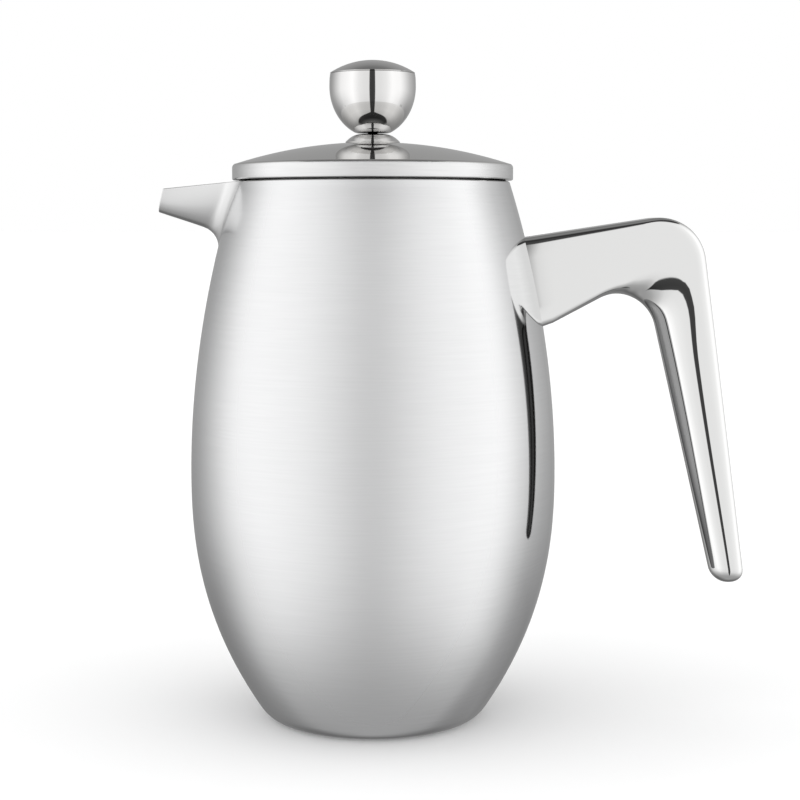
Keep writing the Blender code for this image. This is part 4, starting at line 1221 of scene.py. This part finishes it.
make_knob()
make_knob_cap()
make_rod()
washer_z = KNOB_FLOOR + 0.3
washer = rounded([(THREAD_HOLE, washer_z, 0.1), (WASHER_RADIUS, washer_z, 0.2),
                  (WASHER_RADIUS, washer_z + SHEET, 0.2), (THREAD_HOLE, washer_z + SHEET, 0.1)])
finish_mesh("washer", spin(washer, SMALL), [plate_steel], "plunger", "knob_washer", slot="satin_steel")
hexagon_nut("inner_nut", 8.0, 2.0, KNOB_FLOOR + 1.4, KNOB_FLOOR + 5.0, "plunger", "knob_nut", 0.45)

# %% [markdown]
# ## The filter
# From below: a domed nut, a plate with eight large openings and a turned-down edge, a disc of woven wire,
# and a plate with rings of small holes, whose upturned edge carries a long closed spring. The spring rubs
# on the cup's wall. A flanged hub clamps the stack. Holes are cut with one tool for each plate.

# %% Filter plates
STACK_Z, CROSS_Z, CLOTH_Z, SPIRAL_Z, HUB_Z = 18.6, 23.1, 24.2, 24.9, 26.0
OPENINGS = [(8, 22.5, 6.6, 0.0)]
SMALL_HOLES = [(10, 13.5, 1.9, 0.0), (16, 21.5, 1.9, 0.5), (22, 29.5, 1.9, 0.0)]


def hole_tool(name, rings, z, sides=40):
    """One tool of upright cylinders, each ring as (count, ring radius, hole radius, start in pitches)."""
    builder = bmesh.new()
    for count, ring_radius, hole_radius, phase in rings:
        for k in range(count):
            angle = math.tau * (k + phase) / count
            made = bmesh.ops.create_cone(builder, cap_ends=True, segments=sides, radius1=hole_radius * MM,
                                         radius2=hole_radius * MM, depth=8 * MM)["verts"]
            place = Vector((ring_radius * math.cos(angle), ring_radius * math.sin(angle), z)) * MM
            bmesh.ops.translate(builder, verts=made, vec=place)
    mesh = bpy.data.meshes.new(name)
    builder.to_mesh(mesh)
    builder.free()
    return bpy.data.objects.new(name, mesh)


def make_plates():
    """The lower plate's edge turns down, and the upper plate's edge turns up."""
    z = CROSS_Z
    corners = [(THREAD_HOLE, z, 0.0), (38.4, z, 0.6), (38.4, z - 2.6, 0.0), (39.2, z - 2.6, 0.3),
               (39.2, z + SHEET, 1.4), (THREAD_HOLE, z + SHEET, 0.0)]
    lower = finish_mesh("cross_disc", spin(rounded(corners)), [plate_steel], "plunger", "cross_plate",
                        slot="satin_steel")
    cut_with(lower, hole_tool("openings", OPENINGS, z, 64))
    z = SPIRAL_Z
    corners = [(THREAD_HOLE, z, 0.0), (37.9, z, 1.2), (37.9, z + 3.4, 0.3), (37.1, z + 3.4, 0.3),
               (37.1, z + SHEET, 0.5), (THREAD_HOLE, z + SHEET, 0.0)]
    upper = finish_mesh("spring_plate", spin(rounded(corners)), [plate_steel], "plunger", "spiral_plate",
                        slot="satin_steel")
    cut_with(upper, hole_tool("holes", SMALL_HOLES, z, 24))


def make_wire_cloth():
    """A thin disc of cloth, with a rim crimped round its edge that has its own material."""
    z, rim_low, rim_high = CLOTH_Z, 39.5, 41.4
    corners = [(THREAD_HOLE, z, 0.0), (rim_high, z, 0.3), (rim_high, z + 1.0, 0.3), (39.6, z + 1.0, 0.2),
               (39.4, z + 0.4, 0.0), (THREAD_HOLE, z + 0.4, 0.0)]
    builder = spin(rounded(corners))
    for face in builder.faces:
        middle = face.calc_center_median()
        face.material_index = 1 if math.hypot(middle.x, middle.y) > rim_low * MM else 0
    return finish_mesh("wire_cloth", builder, [cloth_steel, plate_steel], "plunger", "mesh_screen",
                       slot="woven_wire")


make_plates()
make_wire_cloth()

# %% [markdown]
# The spring is one wire wound in a tight helix whose own axis is a circle. A curve through the helix with
# a round bevel gives true wire. Enough points for each turn keep it round.

# %% Edge spring
SPRING_RADIUS, SPRING_Z, COIL_RADIUS, WIRE_RADIUS = 40.35, 27.4, 1.32, 0.36
COIL_TURNS, POINTS_PER_TURN = 210, 10


def make_spring():
    """One closed wire: a helix bent into a ring."""
    curve = bpy.data.curves.new("coil_spring", "CURVE")
    curve.dimensions = "3D"
    curve.bevel_depth = WIRE_RADIUS * MM
    curve.bevel_resolution = 1
    count = COIL_TURNS * POINTS_PER_TURN
    line = curve.splines.new("POLY")
    line.points.add(count - 1)
    for k in range(count):
        around = math.tau * k / count
        coil = math.tau * k / POINTS_PER_TURN
        r = SPRING_RADIUS + COIL_RADIUS * math.cos(coil)
        z = SPRING_Z + COIL_RADIUS * math.sin(coil)
        line.points[k].co = (r * math.cos(around) * MM, r * math.sin(around) * MM, z * MM, 1.0)
    line.use_cyclic_u = True
    line.use_smooth = True
    curve.materials.append(wire_steel)
    obj = bpy.data.objects.new("coil_spring", curve)
    scene.collection.objects.link(obj)
    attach(obj, "plunger")
    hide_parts("edge_spring")
    print("coil_spring:", COIL_TURNS, "turns of wire", 2 * WIRE_RADIUS, "mm thick")
    return obj


make_spring()
hub = rounded([(THREAD_HOLE, HUB_Z, 0.1), (8.0, HUB_Z, 0.2), (8.0, HUB_Z + 1.4, 0.3),
               (4.6, HUB_Z + 1.9, 0.6), (4.6, HUB_Z + 5.0, 0.5), (THREAD_HOLE, HUB_Z + 5.0, 0.3)])
finish_mesh("clamp_hub", spin(hub, SMALL), [turned_steel], "plunger", "upper_hub", slot="satin_steel")
dome_nut = rounded([(0.0, STACK_Z, 0), (5.2, STACK_Z, 1.4), (6.4, STACK_Z + 1.9, 0.8),
                    (6.4, STACK_Z + 4.2, 0.2), (THREAD_HOLE, STACK_Z + 4.2, 0.1),
                    (THREAD_HOLE, STACK_Z + 1.0, 0), (0.0, STACK_Z + 1.0, 0)])
finish_mesh("cap_nut", spin(dome_nut, SMALL), [turned_steel], "plunger", "hub_nut", slot="satin_steel")
